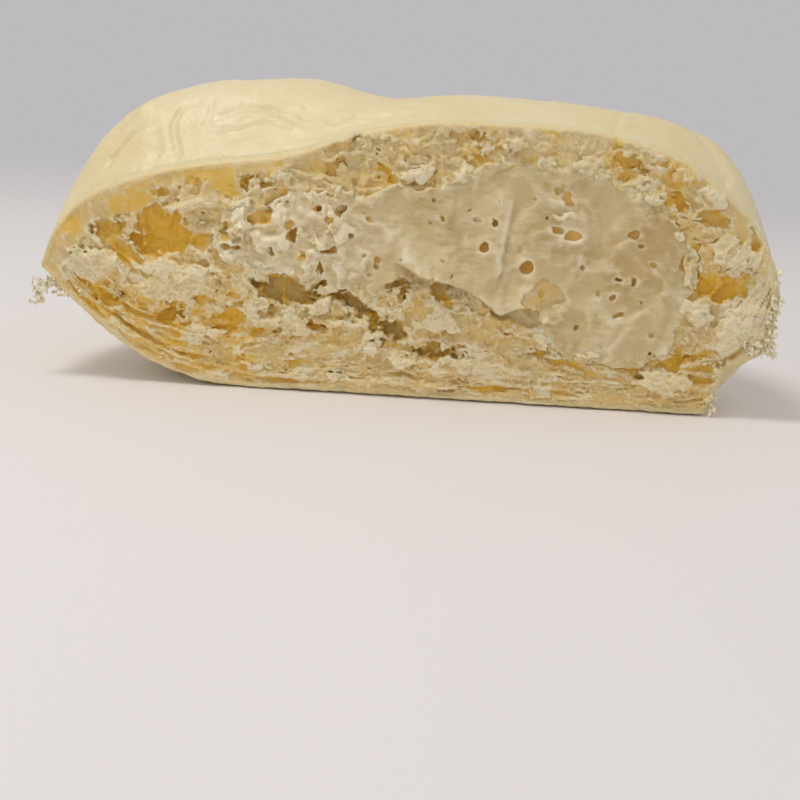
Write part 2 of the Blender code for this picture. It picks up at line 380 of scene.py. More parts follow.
class Graph:
    """Adds nodes to a tree, geometry or shader, and joins them up."""

    def __init__(self, tree: bpy.types.NodeTree) -> None:
        """Keeps the tree."""
        self.tree = tree

    def add(self, kind: str, **settings: object) -> bpy.types.Node:
        """A new node of a kind, with its settings."""
        node = self.tree.nodes.new(kind)
        for name, value in settings.items():
            setattr(node, name, value)
        return node

    def join(self, value: object, socket: Socket) -> None:
        """Feeds a socket from a field, a vector or another socket, or sets its plain value."""
        if isinstance(value, (Field, Vec)):
            self.tree.links.new(value.socket, socket)
        elif isinstance(value, Socket):
            self.tree.links.new(value, socket)
        else:
            socket.default_value = value

    def math(self, operation: str, *values: "Field | float") -> Field:
        """One Math node."""
        node = self.add("ShaderNodeMath", operation=operation)
        for index, value in enumerate(values):
            self.join(value, node.inputs[index])
        return Field(self, node.outputs[0])

    def vector_math(self, operation: str, *values: object) -> "Vec | Field":
        """One Vector Math node, whose result is a vector or, for a length or a dot, a number."""
        node = self.add("ShaderNodeVectorMath", operation=operation)
        for index, value in enumerate(values):
            self.join(value, node.inputs[index])
        if operation in ("LENGTH", "DOT_PRODUCT"):
            return Field(self, node.outputs["Value"])
        return Vec(self, node.outputs["Vector"])

    def vector(self, x: "Field | float", y: "Field | float", z: "Field | float") -> Vec:
        """A vector of three numbers."""
        node = self.add("ShaderNodeCombineXYZ")
        for name, value in zip("XYZ", (x, y, z)):
            self.join(value, node.inputs[name])
        return Vec(self, node.outputs[0])

    def noise(self, place: Vec, size: float, detail: float = 2, roughness: float = 0.5) -> Field:
        """Smooth noise from -1 to 1.

        Args:
            place: where to read it.
            size: the width of its lumps.
            detail: how many finer layers it has.
            roughness: how strong those are.

        Returns:
            The noise.
        """
        node = self._noise_node(place, size, detail, roughness)
        return Field(self, node.outputs["Fac"]) * 2.0 - 1.0

    def ridges(
        self, place: Vec, size: float, sharpness: float, detail: float, roughness: float = 0.5
    ) -> Field:
        """Thin ridges of height 1 where noise crosses 0.

        Args:
            place: where to read it.
            size: the width of the noise's lumps.
            sharpness: how fast the ridges fall away.
            detail: how many finer layers the noise has.
            roughness: how strong those are.

        Returns:
            The ridges.
        """
        noise = self.noise(place, size, detail, roughness)
        return (1.0 - noise.abs() * sharpness).max(0.0)

    def noise_vector(self, place: Vec, size: float, reach: float, detail: float = 1) -> Vec:
        """Noise as an offset of up to about a reach each way."""
        node = self._noise_node(place, size, detail, 0.5)
        return (Vec(self, node.outputs["Color"]) - (0.5, 0.5, 0.5)).scaled(2 * reach)

    def _noise_node(
        self, place: Vec, size: float, detail: float, roughness: float
    ) -> bpy.types.Node:
        """A Noise Texture node."""
        node = self.add("ShaderNodeTexNoise")
        self.join(place, node.inputs["Vector"])
        node.inputs["Scale"].default_value = 1 / size
        node.inputs["Detail"].default_value = detail
        node.inputs["Roughness"].default_value = roughness
        return node

    def cells(self, place: Vec, size: float, feature: str = "F1") -> tuple[Field, Field]:
        """A cell pattern.

        Args:
            place: where to read it.
            size: the width of a cell.
            feature: F1 for the distance to the cell's middle, DISTANCE_TO_EDGE for its wall.

        Returns:
            The distance in the units of place, and a random number for each cell.
        """
        node = self.add("ShaderNodeTexVoronoi", feature=feature)
        self.join(place, node.inputs["Vector"])
        node.inputs["Scale"].default_value = 1 / size
        distance = Field(self, node.outputs["Distance"]) * size
        if feature == "DISTANCE_TO_EDGE":
            twin = self.add("ShaderNodeTexVoronoi", feature="F1")
            self.join(place, twin.inputs["Vector"])
            twin.inputs["Scale"].default_value = 1 / size
            node = twin
        return distance, Vec(self, node.outputs["Color"]).parts()[0]

    def curve(self, shape: Callable[[float], float], x: Field, ends: Pair) -> Field:
        """A function of one number, as a Float Curve node.

        Args:
            shape: the function.
            x: the number it is read at.
            ends: where the curve starts and ends; past them it stays level.

        Returns:
            The function's value.
        """
        places = np.linspace(ends[0], ends[1], CURVE_POINTS)
        values = np.array([shape(float(place)) for place in places])
        low, high = float(values.min()), float(values.max())
        node = self.add("ShaderNodeFloatCurve")
        points = node.mapping.curves[0].points
        while len(points) < CURVE_POINTS:
            points.new(0.5, 0.5)
        for point, place, value in zip(points, places, values):
            point.location = (
                (float(place) - ends[0]) / (ends[1] - ends[0]),
                (float(value) - low) / max(high - low, 1e-6),
            )
            point.handle_type = "VECTOR"
        node.mapping.update()
        share = (x - ends[0]) * (1 / (ends[1] - ends[0]))
        self.join(share.max(0.0).min(1.0), node.inputs["Value"])
        return Field(self, node.outputs[0]) * (high - low) + low


class GeometryGraph(Graph):
    """A Geometry Nodes tree with named inputs that makes one piece."""

    def __init__(self, name: str) -> None:
        """Starts an empty tree that ends in one mesh."""
        super().__init__(bpy.data.node_groups.new(name, "GeometryNodeTree"))
        self.tree.interface.new_socket(
            "Geometry", in_out="OUTPUT", socket_type="NodeSocketGeometry"
        )
        self.settings: dict[str, object] = {}
        self.group_input = self.add("NodeGroupInput")

    def number(self, name: str, value: float) -> Field:
        """A named number that the modifier gives the tree."""
        kind = "NodeSocketInt" if isinstance(value, int) else "NodeSocketFloat"
        return Field(self, self._input(name, kind, value))

    def _input(self, name: str, kind: str, value: object) -> Socket:
        """A named input and its socket."""
        item = self.tree.interface.new_socket(name, in_out="INPUT", socket_type=kind)
        self.settings[item.identifier] = value
        return next(s for s in self.group_input.outputs if s.identifier == item.identifier)

    def place(self) -> Vec:
        """Where each point is, in the form's own millimetres."""
        shift = FORM.shift()
        position = Vec(self, self.add("GeometryNodeInputPosition").outputs[0])
        return (position + tuple(shift)).scaled(1 / MM)

    def step_through(self, kind: str, geometry: Socket, **inputs: object) -> Socket:
        """Passes the geometry through one more node.

        Args:
            kind: the node's type.
            geometry: what goes in.
            inputs: its other inputs, named with underscores for spaces.

        Returns:
            What comes out.
        """
        node = self.add(kind)
        first = next(s for s in node.inputs if s.type == "GEOMETRY")
        self.tree.links.new(geometry, first)
        for name, value in inputs.items():
            self.join(value, node.inputs[name.replace("_", " ").title()])
        return node.outputs[0]

    def store(self, geometry: Socket, name: Attribute, value: Field) -> Socket:
        """Stores a number on every point."""
        kind = "GeometryNodeStoreNamedAttribute"
        return self.step_through(kind, geometry, name=name.value, value=value)

    def blurred(self, value: Vec, rounds: int) -> Vec:
        """A vector averaged with its neighbours' along the mesh."""
        node = self.add("GeometryNodeBlurAttribute", data_type="FLOAT_VECTOR")
        self.join(value, next(s for s in node.inputs if s.name == "Value" and s.enabled))
        node.inputs["Iterations"].default_value = rounds
        return Vec(self, next(s for s in node.outputs if s.enabled))

    def finish(self, geometry: Socket, material: bpy.types.Material) -> None:
        """Ends the tree: one real mesh with its material."""
        geometry = self.step_through("GeometryNodeSetShadeSmooth", geometry)
        geometry = self.step_through("GeometryNodeRealizeInstances", geometry)
        socket = self._input("Finish", "NodeSocketMaterial", material)
        geometry = self.step_through("GeometryNodeSetMaterial", geometry, material=socket)
        self.tree.links.new(geometry, self.add("NodeGroupOutput").inputs[0])

    def make_piece(self, name: str) -> bpy.types.Object:
        """Runs the tree and keeps its result as a plain mesh object.

        Args:
            name: the piece's name.

        Returns:
            The piece, with no modifier on it.
        """
        carrier = add_object(f"{name}_source", bpy.data.meshes.new(f"{name}_source"))
        modifier = carrier.modifiers.new("tree", "NODES")
        modifier.node_group = self.tree
        for identifier, value in self.settings.items():
            modifier[identifier] = value
        depsgraph = bpy.context.evaluated_depsgraph_get()
        mesh = bpy.data.meshes.new_from_object(carrier.evaluated_get(depsgraph))
        bpy.data.objects.remove(carrier)
        mesh.name = name
        return add_object(name, mesh)


def add_object(name: str, data: bpy.types.ID | None) -> bpy.types.Object:
    """A new object in the scene.

    Args:
        name: its name.
        data: its mesh, light or camera.

    Returns:
        The object.
    """
    obj = bpy.data.objects.new(name, data)
    bpy.context.scene.collection.objects.link(obj)
    return obj


# ---------------------------------------------------------------------------------------------
# Finishes
# ---------------------------------------------------------------------------------------------


class ShaderGraph(Graph):
    """A material's node tree."""

    def __init__(self, name: str) -> None:
        """Starts a material with one Principled shader."""
        self.material = bpy.data.materials.new(name)
        self.material.use_nodes = True
        super().__init__(self.material.node_tree)
        self.shader = self.tree.nodes["Principled BSDF"]
        coordinates = self.add("ShaderNodeTexCoord")
        self.place = Vec(self, coordinates.outputs["Object"]).scaled(1 / MM)

    def attribute(self, name: Attribute) -> Field:
        """A number stored on the mesh."""
        node = self.add("ShaderNodeAttribute", attribute_name=name.value)
        return Field(self, node.outputs["Fac"])

    def blend(self, share: Field, first: object, second: object) -> Vec:
        """A colour between two.

        Args:
            share: 0 for the first, 1 for the second.
            first: a colour or the result of another blend.
            second: a colour or the result of another blend.

        Returns:
            The mixed colour.
        """
        node = self.add("ShaderNodeMix", data_type="RGBA")
        self.join(share, node.inputs["Factor"])
        inputs = [s for s in node.inputs if s.type == "RGBA"]
        for socket, value in zip(inputs, (first, second)):
            self.join((*value, 1.0) if isinstance(value, tuple) else value, socket)
        return Vec(self, next(s for s in node.outputs if s.type == "RGBA"))

    def bump(self, height: Field, distance: float) -> None:
        """Fine relief in the finish, with its height in millimetres."""
        node = self.add("ShaderNodeBump")
        node.inputs["Strength"].default_value = 1.0
        node.inputs["Distance"].default_value = distance * MM
        self.join(height, node.inputs["Height"])
        self.tree.links.new(node.outputs["Normal"], self.shader.inputs["Normal"])

    def set(self, **values: object) -> None:
        """Sets or feeds the shader's inputs, named with underscores for spaces."""
        for name, value in values.items():
            socket = self.shader.inputs[name.replace("_", " ")]
            if isinstance(value, tuple) and socket.type == "RGBA":
                value = (*value, 1.0)
            self.join(value, socket)


@dataclass(frozen=True)
class SkinFinish:
    """Soft, pale, slightly moist skin, with painted shade in its creases."""

    pale: Colour = (0.79, 0.66, 0.368)
    warm: Colour = (0.78, 0.60, 0.29)
    dusty: Colour = (0.83, 0.72, 0.46)

    def material(self) -> bpy.types.Material:
        """The skin's material."""
        graph = ShaderGraph("bun_skin")
        wide = graph.noise(graph.place, 16.0, 3.0)
        fine = graph.noise(graph.place, 2.2, 4.0, 0.6)
        colour = graph.blend(wide.step(-0.5, 0.5), self.pale, self.dusty)
        # Painted shade: the grooves of the folds are painted warmer and darker; the blush and the
        # fine noise are the skin's own random tone.
        creased = graph.attribute(Attribute.CREST).step(-0.2, -0.6)
        blush = graph.noise(graph.place, 5.0, 4.0, 0.6).step(-0.2, 0.6)
        warmth_and_crease_shade = creased * 0.4 + blush * 0.35 + fine.step(0.0, 1.0) * 0.2
        colour = graph.blend(warmth_and_crease_shade, colour, self.warm)
        graph.set(
            Base_Color=colour,
            Roughness=fine.step(-0.6, 0.6, 0.36, 0.54),
            Subsurface_Weight=0.35,
            Subsurface_Radius=(1.0, 0.6, 0.25),
            Subsurface_Scale=0.8 * MM,
            Specular_IOR_Level=0.55,
        )
        pores = graph.cells(graph.place, 0.55)[0]
        grain = graph.noise(graph.place, 0.9, 3.0, 0.6)
        graph.bump(grain * 0.6 + pores.min(0.25), 0.09)
        return graph.material


@dataclass(frozen=True)
class CrumbFinish:
    """Torn crumb: amber where it is smooth gel, with a painted amber glow where it is deep; frosty
    where it is torn up, with painted highlights on proud crests.
    """

    amber: Colour = (0.80, 0.51, 0.06)
    bread: Colour = (0.75, 0.555, 0.215)
    frost: Colour = (0.88, 0.78, 0.53)
    rind_and_top_glow: Colour = (0.78, 0.66, 0.38)
    tan: Colour = (0.66, 0.51, 0.25)
    cavern_shade_umber: Colour = (0.58, 0.41, 0.13)

    def material(self) -> bpy.types.Material:
        """The crumb's material."""
        graph = ShaderGraph("bun_crumb")
        frost = graph.attribute(Attribute.FROST)
        crest = graph.attribute(Attribute.CREST)
        pit = graph.attribute(Attribute.PIT)
        fleck = graph.noise(graph.place, 0.8, 4.0, 0.65)
        streak = graph.noise(graph.place.times((0.6, 1.0, 1.2)), 1.8, 3.0, 0.6)
        drift = graph.noise(graph.place.times((0.5, 1.0, 1.0)), 3.2, 4.0, 0.6)
        colour = graph.blend(drift.step(-0.25, 0.35), self.bread, self.tan)
        # Amber where the crumb is smooth gel, which is its own colour, and where it is deep, which
        # is a painted glow of light carried into the hollows.
        amber_gel_and_depth_glow = (pit * (0.9 + streak) + fleck * 0.12).step(0.0, 0.7)
        colour = graph.blend(amber_gel_and_depth_glow, colour, self.amber)
        vein = graph.ridges(graph.place.times((0.8, 1.0, 1.5)), 1.1, 7.0, 3.0, 0.6)
        # Frost white: the torn frost is the crumb's own colour, and the crest term is a painted
        # highlight on proud crests.
        white = (frost * 0.8 + crest * 2.4 + fleck * 0.6 + vein * 0.3).step(0.15, 1.05)
        colour = graph.blend(white * (1.0 - pit.step(0.3, 1.0) * 0.8), colour, self.frost)
        # Painted shade: the caverns under the cream are painted a darker brown.
        cavern_shade = graph.attribute(Attribute.CAVERN_SHADE) * (0.9 + streak * 0.6)
        colour = graph.blend(cavern_shade * (1.0 - white * 0.6), colour, self.cavern_shade_umber)
        # Paler where the crumb lies against the skin, which is its own rind colour, and near the
        # top, which is a painted glow.
        colour = graph.blend(graph.attribute(Attribute.RIND_AND_TOP_GLOW), colour, self.rind_and_top_glow)
        graph.set(
            Base_Color=colour,
            Roughness=white.step(0.0, 1.0, 0.42, 0.8),
            Subsurface_Weight=white.step(0.0, 1.0, 0.7, 0.45),
            Subsurface_Radius=(1.0, 0.6, 0.25),
            Subsurface_Scale=0.6 * MM,
            Specular_IOR_Level=0.35,
        )
        fibre = graph.noise(graph.place.times((0.6, 1.0, 1.5)), 0.4, 3.0, 0.7)
        graph.bump(fibre * (0.2 + white), 0.1)
        return graph.material


@dataclass(frozen=True)
class FluffFinish:
    """Dry white shreds of crumb."""

    white: Colour = (0.95, 0.88, 0.66)
    straw: Colour = (0.88, 0.74, 0.42)

    def material(self) -> bpy.types.Material:
        """The shreds' material."""
        graph = ShaderGraph("crumb_fluff")
        tone = graph.noise(graph.place, 0.9, 3.0, 0.6)
        graph.set(
            Base_Color=graph.blend(tone.step(-0.1, 0.5), self.white, self.straw),
            Roughness=0.8,
            Specular_IOR_Level=0.2,
        )
        graph.bump(graph.noise(graph.place, 0.2, 2.0), 0.05)
        return graph.material


@dataclass(frozen=True)
class CreamFinish:
    """Whipped cream: satin, with painted highlights that make it pale at its lips and ridges, and a
    painted amber glow in its bubbles.
    """

    body: Colour = (0.68, 0.54, 0.285)
    tan: Colour = (0.58, 0.42, 0.18)
    pale: Colour = (0.87, 0.78, 0.55)
    amber: Colour = (0.82, 0.56, 0.15)
    cavern_shade_umber: Colour = (0.60, 0.43, 0.15)

    def material(self) -> bpy.types.Material:
        """The cream's material."""
        graph = ShaderGraph("whipped_cream")
        crest = graph.attribute(Attribute.CREST)
        pit = graph.attribute(Attribute.PIT)
        frost = graph.attribute(Attribute.FROST)
        cloud = graph.noise(graph.place, 6.0, 3.0)
        brush = graph.noise(graph.place.times((0.3, 1.0, 1.0)), 0.8, 4.0, 0.65)
        # Paler on proud ridges as a painted highlight, and where the frost value holds pale flecks
        # and painted highlights; cloud and brush are random tone. The shade mask below is painted
        # shade in recesses mixed with random tone.
        pale = (crest * 2.6 + frost * 0.8 + cloud * 0.5 + brush * 0.5).step(-0.1, 0.9)
        shade = graph.noise(graph.place, 9.0, 3.0, 0.6) - brush * 0.4 - crest
        colour = graph.blend(shade.step(-0.1, 0.5), self.body, self.tan)
        colour = graph.blend(pale, colour, self.pale)
        # Painted glow: bubbles and hollows are painted amber.
        colour = graph.blend(pit.step(0.1, 0.8), colour, self.amber)
        # Painted shade in the caverns under the cream.
        colour = graph.blend(graph.attribute(Attribute.CAVERN_SHADE), colour, self.cavern_shade_umber)
        graph.set(
            Base_Color=colour,
            Roughness=cloud.step(-0.5, 0.5, 0.32, 0.5),
            Subsurface_Weight=0.6,
            Subsurface_Radius=(1.0, 0.65, 0.3),
            Subsurface_Scale=0.9 * MM,
            Specular_IOR_Level=0.45,
        )
        grain = graph.noise(graph.place, 0.6, 3.0, 0.6)
        graph.bump(grain + brush, 0.05)
        return graph.material


@dataclass(frozen=True)
class FloorFinish:
    """A plain pale floor that fades into the backdrop."""

    colour: Colour = (0.87, 0.835, 0.815)
    fade_start: float = 150.0
    fade_end: float = 420.0

    def material(self) -> bpy.types.Material:
        """The floor's material."""
        graph = ShaderGraph("pale_floor")
        graph.set(Base_Color=self.colour, Roughness=0.6, Specular_IOR_Level=0.2)
        x, y, _ = graph.place.parts()
        reach = graph.vector(x, y, 0.0).length()
        graph.set(Alpha=reach.step(self.fade_start, self.fade_end, 1.0, 0.0))
        return graph.material


# ---------------------------------------------------------------------------------------------
# The skin
# ---------------------------------------------------------------------------------------------


@dataclass(frozen=True)
class Crease:
    """A fold in the skin along a bent line of plan points (across, back)."""

    line: tuple[Pair, ...]
    width: float
    depth: float
    ridge: float = 0.0

    def rise(self, x: np.ndarray, y: np.ndarray) -> np.ndarray:
        """How far the fold lifts the skin.

        Args:
            x: places across.
            y: places back.

        Returns:
            The rise at each place: negative in the groove, positive on the lip beside it.
        """
        nearest = np.full(x.shape, np.inf)
        side = np.zeros(x.shape)
        fade = np.zeros(x.shape)
        total = len(self.line) - 1
        for index, (start, end) in enumerate(zip(self.line, self.line[1:])):
            dx, dy = end[0] - start[0], end[1] - start[1]
            length = dx * dx + dy * dy
            along = np.clip(((x - start[0]) * dx + (y - start[1]) * dy) / length, 0, 1)
            away_x, away_y = x - start[0] - along * dx, y - start[1] - along * dy
            away = np.hypot(away_x, away_y)
            closer = away < nearest
            nearest = np.where(closer, away, nearest)
            side = np.where(closer, np.sign(away_x * dy - away_y * dx) * away, side)
            share = (index + along) / total
            fade = np.where(closer, np.sin(np.pi * np.clip(share, 0.08, 0.92)), fade)
        groove = -self.depth * np.exp(-((nearest / self.width) ** 2))
        lip = self.ridge * np.exp(-(((side - 1.6 * self.width) / self.width) ** 2))
        return (groove + lip) * fade


@dataclass
class Skin:
    """The thin outer skin: dome, back and underside, with a rounded rim at the cut.

    A rim's pairs are for the dome's rim and the foot's. A setback says how far behind the cut a
    rim stands, and its most is a share of the bun's depth. Dents, wrinkles and grain are each a
    size and a height, and the seed fixes how the wrinkles bend. Along, over, under, lip and
    inner count points.
    """

    top_thickness: float = 0.55
    base_thickness: float = 1.0
    rim_thickness: Pair = (0.3, 0.4)
    end_room: float = 1.5
    tuck: float = 0.3
    tuck_width: float = 0.7
    rim_setback: Pair = (0.9, 1.0)
    most_setback: Pair = (0.4, 0.45)
    rim_wave: Pair = (0.7, 0.8)
    wave_length: float = 3.0
    torn_span: Pair = (39.5, 41.5)
    torn_setback: float = 2.2
    loose_span: Pair = (46.6, 47.6)
    loose_setback: float = 1.5
    tip_setback: tuple[Pair, ...] = ((-50, 0), (-47, 1.2), (-43, 0.8), (-40, 0))
    foot_setback: tuple[Pair, ...] = ((-49, 0), (-46, 1.6), (-30, 1.6), (-25, 0))
    dents: Pair = (14.0, 0.3)
    wrinkles: Pair = (7.0, 0.1)
    grain: Pair = (1.8, 0.045)
    seed: int = 7
    fold_heights: Pair = (12.0, 22.0)
    crowding: float = 1.8
    along: int = 400
    over: int = 150
    under: int = 60
    lip: int = 6
    inner: int = 18
    folds: tuple[Crease, ...] = (
        Crease(
            ((-33.4, 0.2), (-32.6, 3), (-34, 6.2), (-33.2, 8), (-31, 8.4), (-29, 7.8)),
            0.45, 0.32, 0.12,
        ),
        Crease(((-29.4, 9.5), (-29.0, 7.4), (-29.6, 5.4)), 0.4, 0.16, 0.05),
        Crease(((-42.6, 3.6), (-41.9, 4.9), (-39.4, 6.6), (-36.8, 7.2)), 0.5, 0.5, 0.25),
        Crease(((-44.6, 5.6), (-42, 8.0), (-39.6, 8.8)), 0.5, 0.4, 0.2),
        Crease(((-40.5, 10.5), (-38.4, 9.6), (-36.6, 10.6)), 1.1, -0.6),
        Crease(
            ((-29.5, 5.6), (-24.5, 7.2), (-21.3, 6.9), (-17.3, 5.4), (-14.3, 3.9)),
            0.45, 0.34, 0.2,
        ),
        Crease(((-27.5, 4.2), (-23, 5), (-19, 4.4)), 0.4, 0.12, 0.08),
        Crease(((-36, 1.6), (-35.4, 4.2), (-36.6, 6.6)), 0.6, 0.14, 0.06),
        Crease(((-16.5, 6.8), (-11.8, 4.1), (-9.3, 4.5), (-3.6, 4.5), (2, 3.4)), 0.4, 0.38, 0.24),
        Crease(((-8.6, 8.8), (-3.6, 7.4), (2.6, 5.5), (12.1, 5.7), (19.3, 5.4)), 0.4, 0.28, 0.2),
        Crease(((-6, 6.2), (0, 6.2), (6, 6.8), (15, 6.6)), 0.4, 0.2, 0.12),
        Crease(((0, 8.6), (5, 7.4), (13, 7.6), (22, 8.2)), 0.5, 0.26, 0.15),
        Crease(((24.6, 0.5), (25.2, 4), (26.4, 9), (29, 20)), 0.6, 0.2, 0.06),
        Crease(((38.4, 1.6), (40.6, 3.2), (41.4, 6)), 0.5, 0.22, 0.15),
        Crease(((41, 3), (39, 7), (35, 14)), 1.2, 0.3, 0.1),
        Crease(((-27, 14), (-18, 18), (-6, 17), (6, 19)), 1.2, 0.35, 0.1),
        Crease(((-24, 26), (-10, 33), (6, 40)), 2.2, 0.6, 0.2),
        Crease(((-42, 14), (-34, 30), (-22, 42)), 2.0, 0.5, 0.2),
        Crease(((16, 14), (24, 24), (26, 36)), 1.8, 0.45, 0.15),
    )

    def build(self) -> bpy.types.Object:
        """The skin's closed mesh and its finish."""
        noise.seed_set(self.seed)
        outer, crest = self._creased(self._outer_points())
        points, crest = self._with_inside(outer, crest)
        tips = outer[[0, -1]].mean(axis=1)
        tips[:, 0] = FORM.ends
        piece = self._mesh(points, tips, crest)
        piece.data.materials.append(SkinFinish().material())
        return piece

    def _places(self) -> np.ndarray:
        """Where the rings stand across, a little closer together at the two ends."""
        angle = np.linspace(-np.pi / 2, np.pi / 2, self.along + 1)[1:-1]
        share = 0.5 * np.sin(angle) + 0.5 * angle / (np.pi / 2)
        start, end = FORM.ends
        return (start + end) / 2 + (end - start) / 2 * share

    def _outer_points(self) -> np.ndarray:
        """The outer face: rings along x, each from the top of the cut round to its foot."""
        rings = []
        for x in self._places():
            torn = self.torn_setback * float(np.interp(x, self.torn_span, (0, 1)))
            loose = self.loose_setback * float(np.interp(x, self.loose_span, (0, 1)))
            wave = noise.fractal(Vector((x / self.wave_length, 0.5, 0)), 0.8, 2.0, 4)
            tip = float(np.interp(x, *zip(*self.tip_setback)))
            foot = float(np.interp(x, *zip(*self.foot_setback)))

            plan = FORM.plan_depth(x, FORM.ends, FORM.depth)
            setback = self.rim_setback[0] + self.rim_wave[0] * wave + loose + tip * (1 + wave)
            start = max(min(setback / plan, self.most_setback[0]), 0.005)
            first = start ** (FORM.dome_power / 2) * 2 / math.pi

            reach = FORM.underside_point(x, 0.5)[0]
            setback = self.rim_setback[1] - self.rim_wave[1] * wave + torn + foot * (1 - wave)
            last = 1 - min(setback / (2 * max(reach, 0.1)), self.most_setback[1])

            rows = [(i / self.over) ** self.crowding for i in range(self.over)]
            over = [first + (1 - first) * row for row in rows]
            under = [last * i / (self.under - 1) for i in range(self.under)]
            ring = [FORM.dome_point(x, share) for share in over]
            ring += [FORM.underside_point(x, share) for share in under]
            rings.append([(x, y, z) for y, z in ring])
        return np.array(rings)

    def _normals(self, points: np.ndarray) -> np.ndarray:
        """The outward direction at each point of a sheet of rings."""
        across = np.gradient(points, axis=0)
        around = np.gradient(points, axis=1)
        normals = np.cross(across, around)
        length = np.linalg.norm(normals, axis=2, keepdims=True)
        return normals / np.maximum(length, 1e-9)

    def _creased(self, points: np.ndarray) -> tuple[np.ndarray, np.ndarray]:
        """Adds folds, dents and fine wrinkles.

        Args:
            points: the smooth outer face.

        Returns:
            The creased face, and how proud each point is.
        """
        x, y, z = points[..., 0], points[..., 1], points[..., 2]
        low, high = self.fold_heights
        upper = np.clip((z - low) / (high - low), 0, 1)
        rise = sum(fold.rise(x, y) for fold in self.folds) * upper
        fine = np.zeros(x.shape)
        for place in np.ndindex(x.shape):
            spot = Vector(points[place])
            dent = noise.fractal(spot / self.dents[0], 1.0, 2.0, 2)
            bent = spot + noise.noise_vector(spot / self.wrinkles[0]) * 3
            bent = Vector((bent.x / self.wrinkles[0], bent.y / 3, bent.z / 5))
            wrinkle = max(1 - abs(noise.noise(bent) * 2), 0) ** 4
            small = noise.fractal(spot / self.grain[0], 1.0, 2.0, 3)
            fine[place] = (
                self.dents[1] * dent + self.wrinkles[1] * wrinkle + self.grain[1] * small
            )
        lies = np.clip(z / 3.0, 0.04, 1)
        edge = np.clip(y / 2.0, 0.3, 1)
        from_rim = y - y[:, :1]
        from_rim[:, self.over:] = y[:, self.over:] - y[:, -1:]
        tuck = np.exp(-((from_rim / self.tuck_width) ** 2)) * self.tuck
        tuck *= np.clip((FORM.from_ends(x) - 0.5) / 3, 0, 1)
        calm = np.clip((FORM.from_ends(x) - 0.2) / 3, 0, 1)
        rise = (rise + fine * lies) * edge * calm - tuck
        points = points + self._normals(points) * rise[..., None]
        points[..., 2] = np.maximum(points[..., 2], 0.0)
        return points, rise

    def _with_inside(self, outer: np.ndarray, crest: np.ndarray) -> tuple[np.ndarray, np.ndarray]:
        """Adds the rounded rims and the inner face to the outer one.

        Args:
            outer: the outer face's rings.
            crest: how proud its points are.

        Returns:
            The whole rings, and how proud each point is.
        """
        normals = self._normals(outer)
        x = outer[:, 0, 0]
        room = FORM.from_ends(x) * self.end_room
        top = np.minimum(self.top_thickness, room)[:, None]
        base = np.minimum(self.base_thickness, room)[:, None]
        thin_top, thin_base = self.rim_thickness
        foot = self._lip(outer[:, -1], normals[:, -1], np.minimum(base, thin_base))
        head = self._lip(outer[:, 0], normals[:, 0], np.minimum(top, thin_top))[:, ::-1]
        picks = np.linspace(outer.shape[1] - 1, 0, self.inner + 2)[1:-1].round().astype(int)
        share = (picks / (outer.shape[1] - 1))[None, :, None]
        wall = top[:, None] * (1 - share) + base[:, None] * share
        inside = outer[:, picks] - normals[:, picks] * wall
        points = np.concatenate([outer, foot, inside, head], axis=1)
        rest = np.zeros((len(x), points.shape[1] - outer.shape[1]))
        return points, np.concatenate([crest, rest], axis=1)

    def _lip(self, edge: np.ndarray, outward: np.ndarray, thickness: np.ndarray) -> np.ndarray:
        """A half-round rim from the outer face's edge to the inner face's."""
        outward = outward * np.array([1.0, 0.0, 1.0])
        outward /= np.maximum(np.linalg.norm(outward, axis=1, keepdims=True), 1e-9)
        forward = np.array([0.0, -1.0, 0.0])
        centre = edge - outward * thickness / 2
        angles = np.linspace(0, np.pi, self.lip + 1)[1:]
        rims = [
            centre + thickness / 2 * (outward * math.cos(a) + forward * math.sin(a)) for a in angles
        ]
        return np.stack(rims, axis=1)

    def _mesh(self, points: np.ndarray, tips: np.ndarray, crest: np.ndarray) -> bpy.types.Object:
        """Joins the rings into a closed mesh.

        Args:
            points: rings of points, in the form's millimetres.
            tips: the two end points.
            crest: how proud each ring point is.

        Returns:
            The skin's object.
        """
        rings, around = points.shape[:2]
        vertices = np.concatenate([points.reshape(-1, 3), tips]) * MM - np.array(FORM.shift())
        ring = np.arange(rings - 1)[:, None] * around
        step = np.arange(around)[None, :]
        following = (step + 1) % around
        quads = np.stack(
            [ring + step, ring + around + step, ring + around + following, ring + following],
            axis=-1,
        ).reshape(-1, 4)
        first, last = rings * around, rings * around + 1
        steps = np.arange(around)
        after = (steps + 1) % around
        base = (rings - 1) * around
        caps = [(first, int(a), int(b)) for a, b in zip(steps, after)]
        caps += [(last, int(base + b), int(base + a)) for a, b in zip(steps, after)]
        mesh = bpy.data.meshes.new("bun_skin")
        mesh.from_pydata(vertices.tolist(), [], quads.tolist() + caps)
        mesh.shade_smooth()
        values = np.append(crest.reshape(-1), (0, 0)).astype(np.float32)
        layer = mesh.attributes.new(Attribute.CREST.value, "FLOAT", "POINT")
        layer.data.foreach_set("value", values)
        return add_object("bun_skin", mesh)


# ---------------------------------------------------------------------------------------------
# The crumb and the cream
# ---------------------------------------------------------------------------------------------


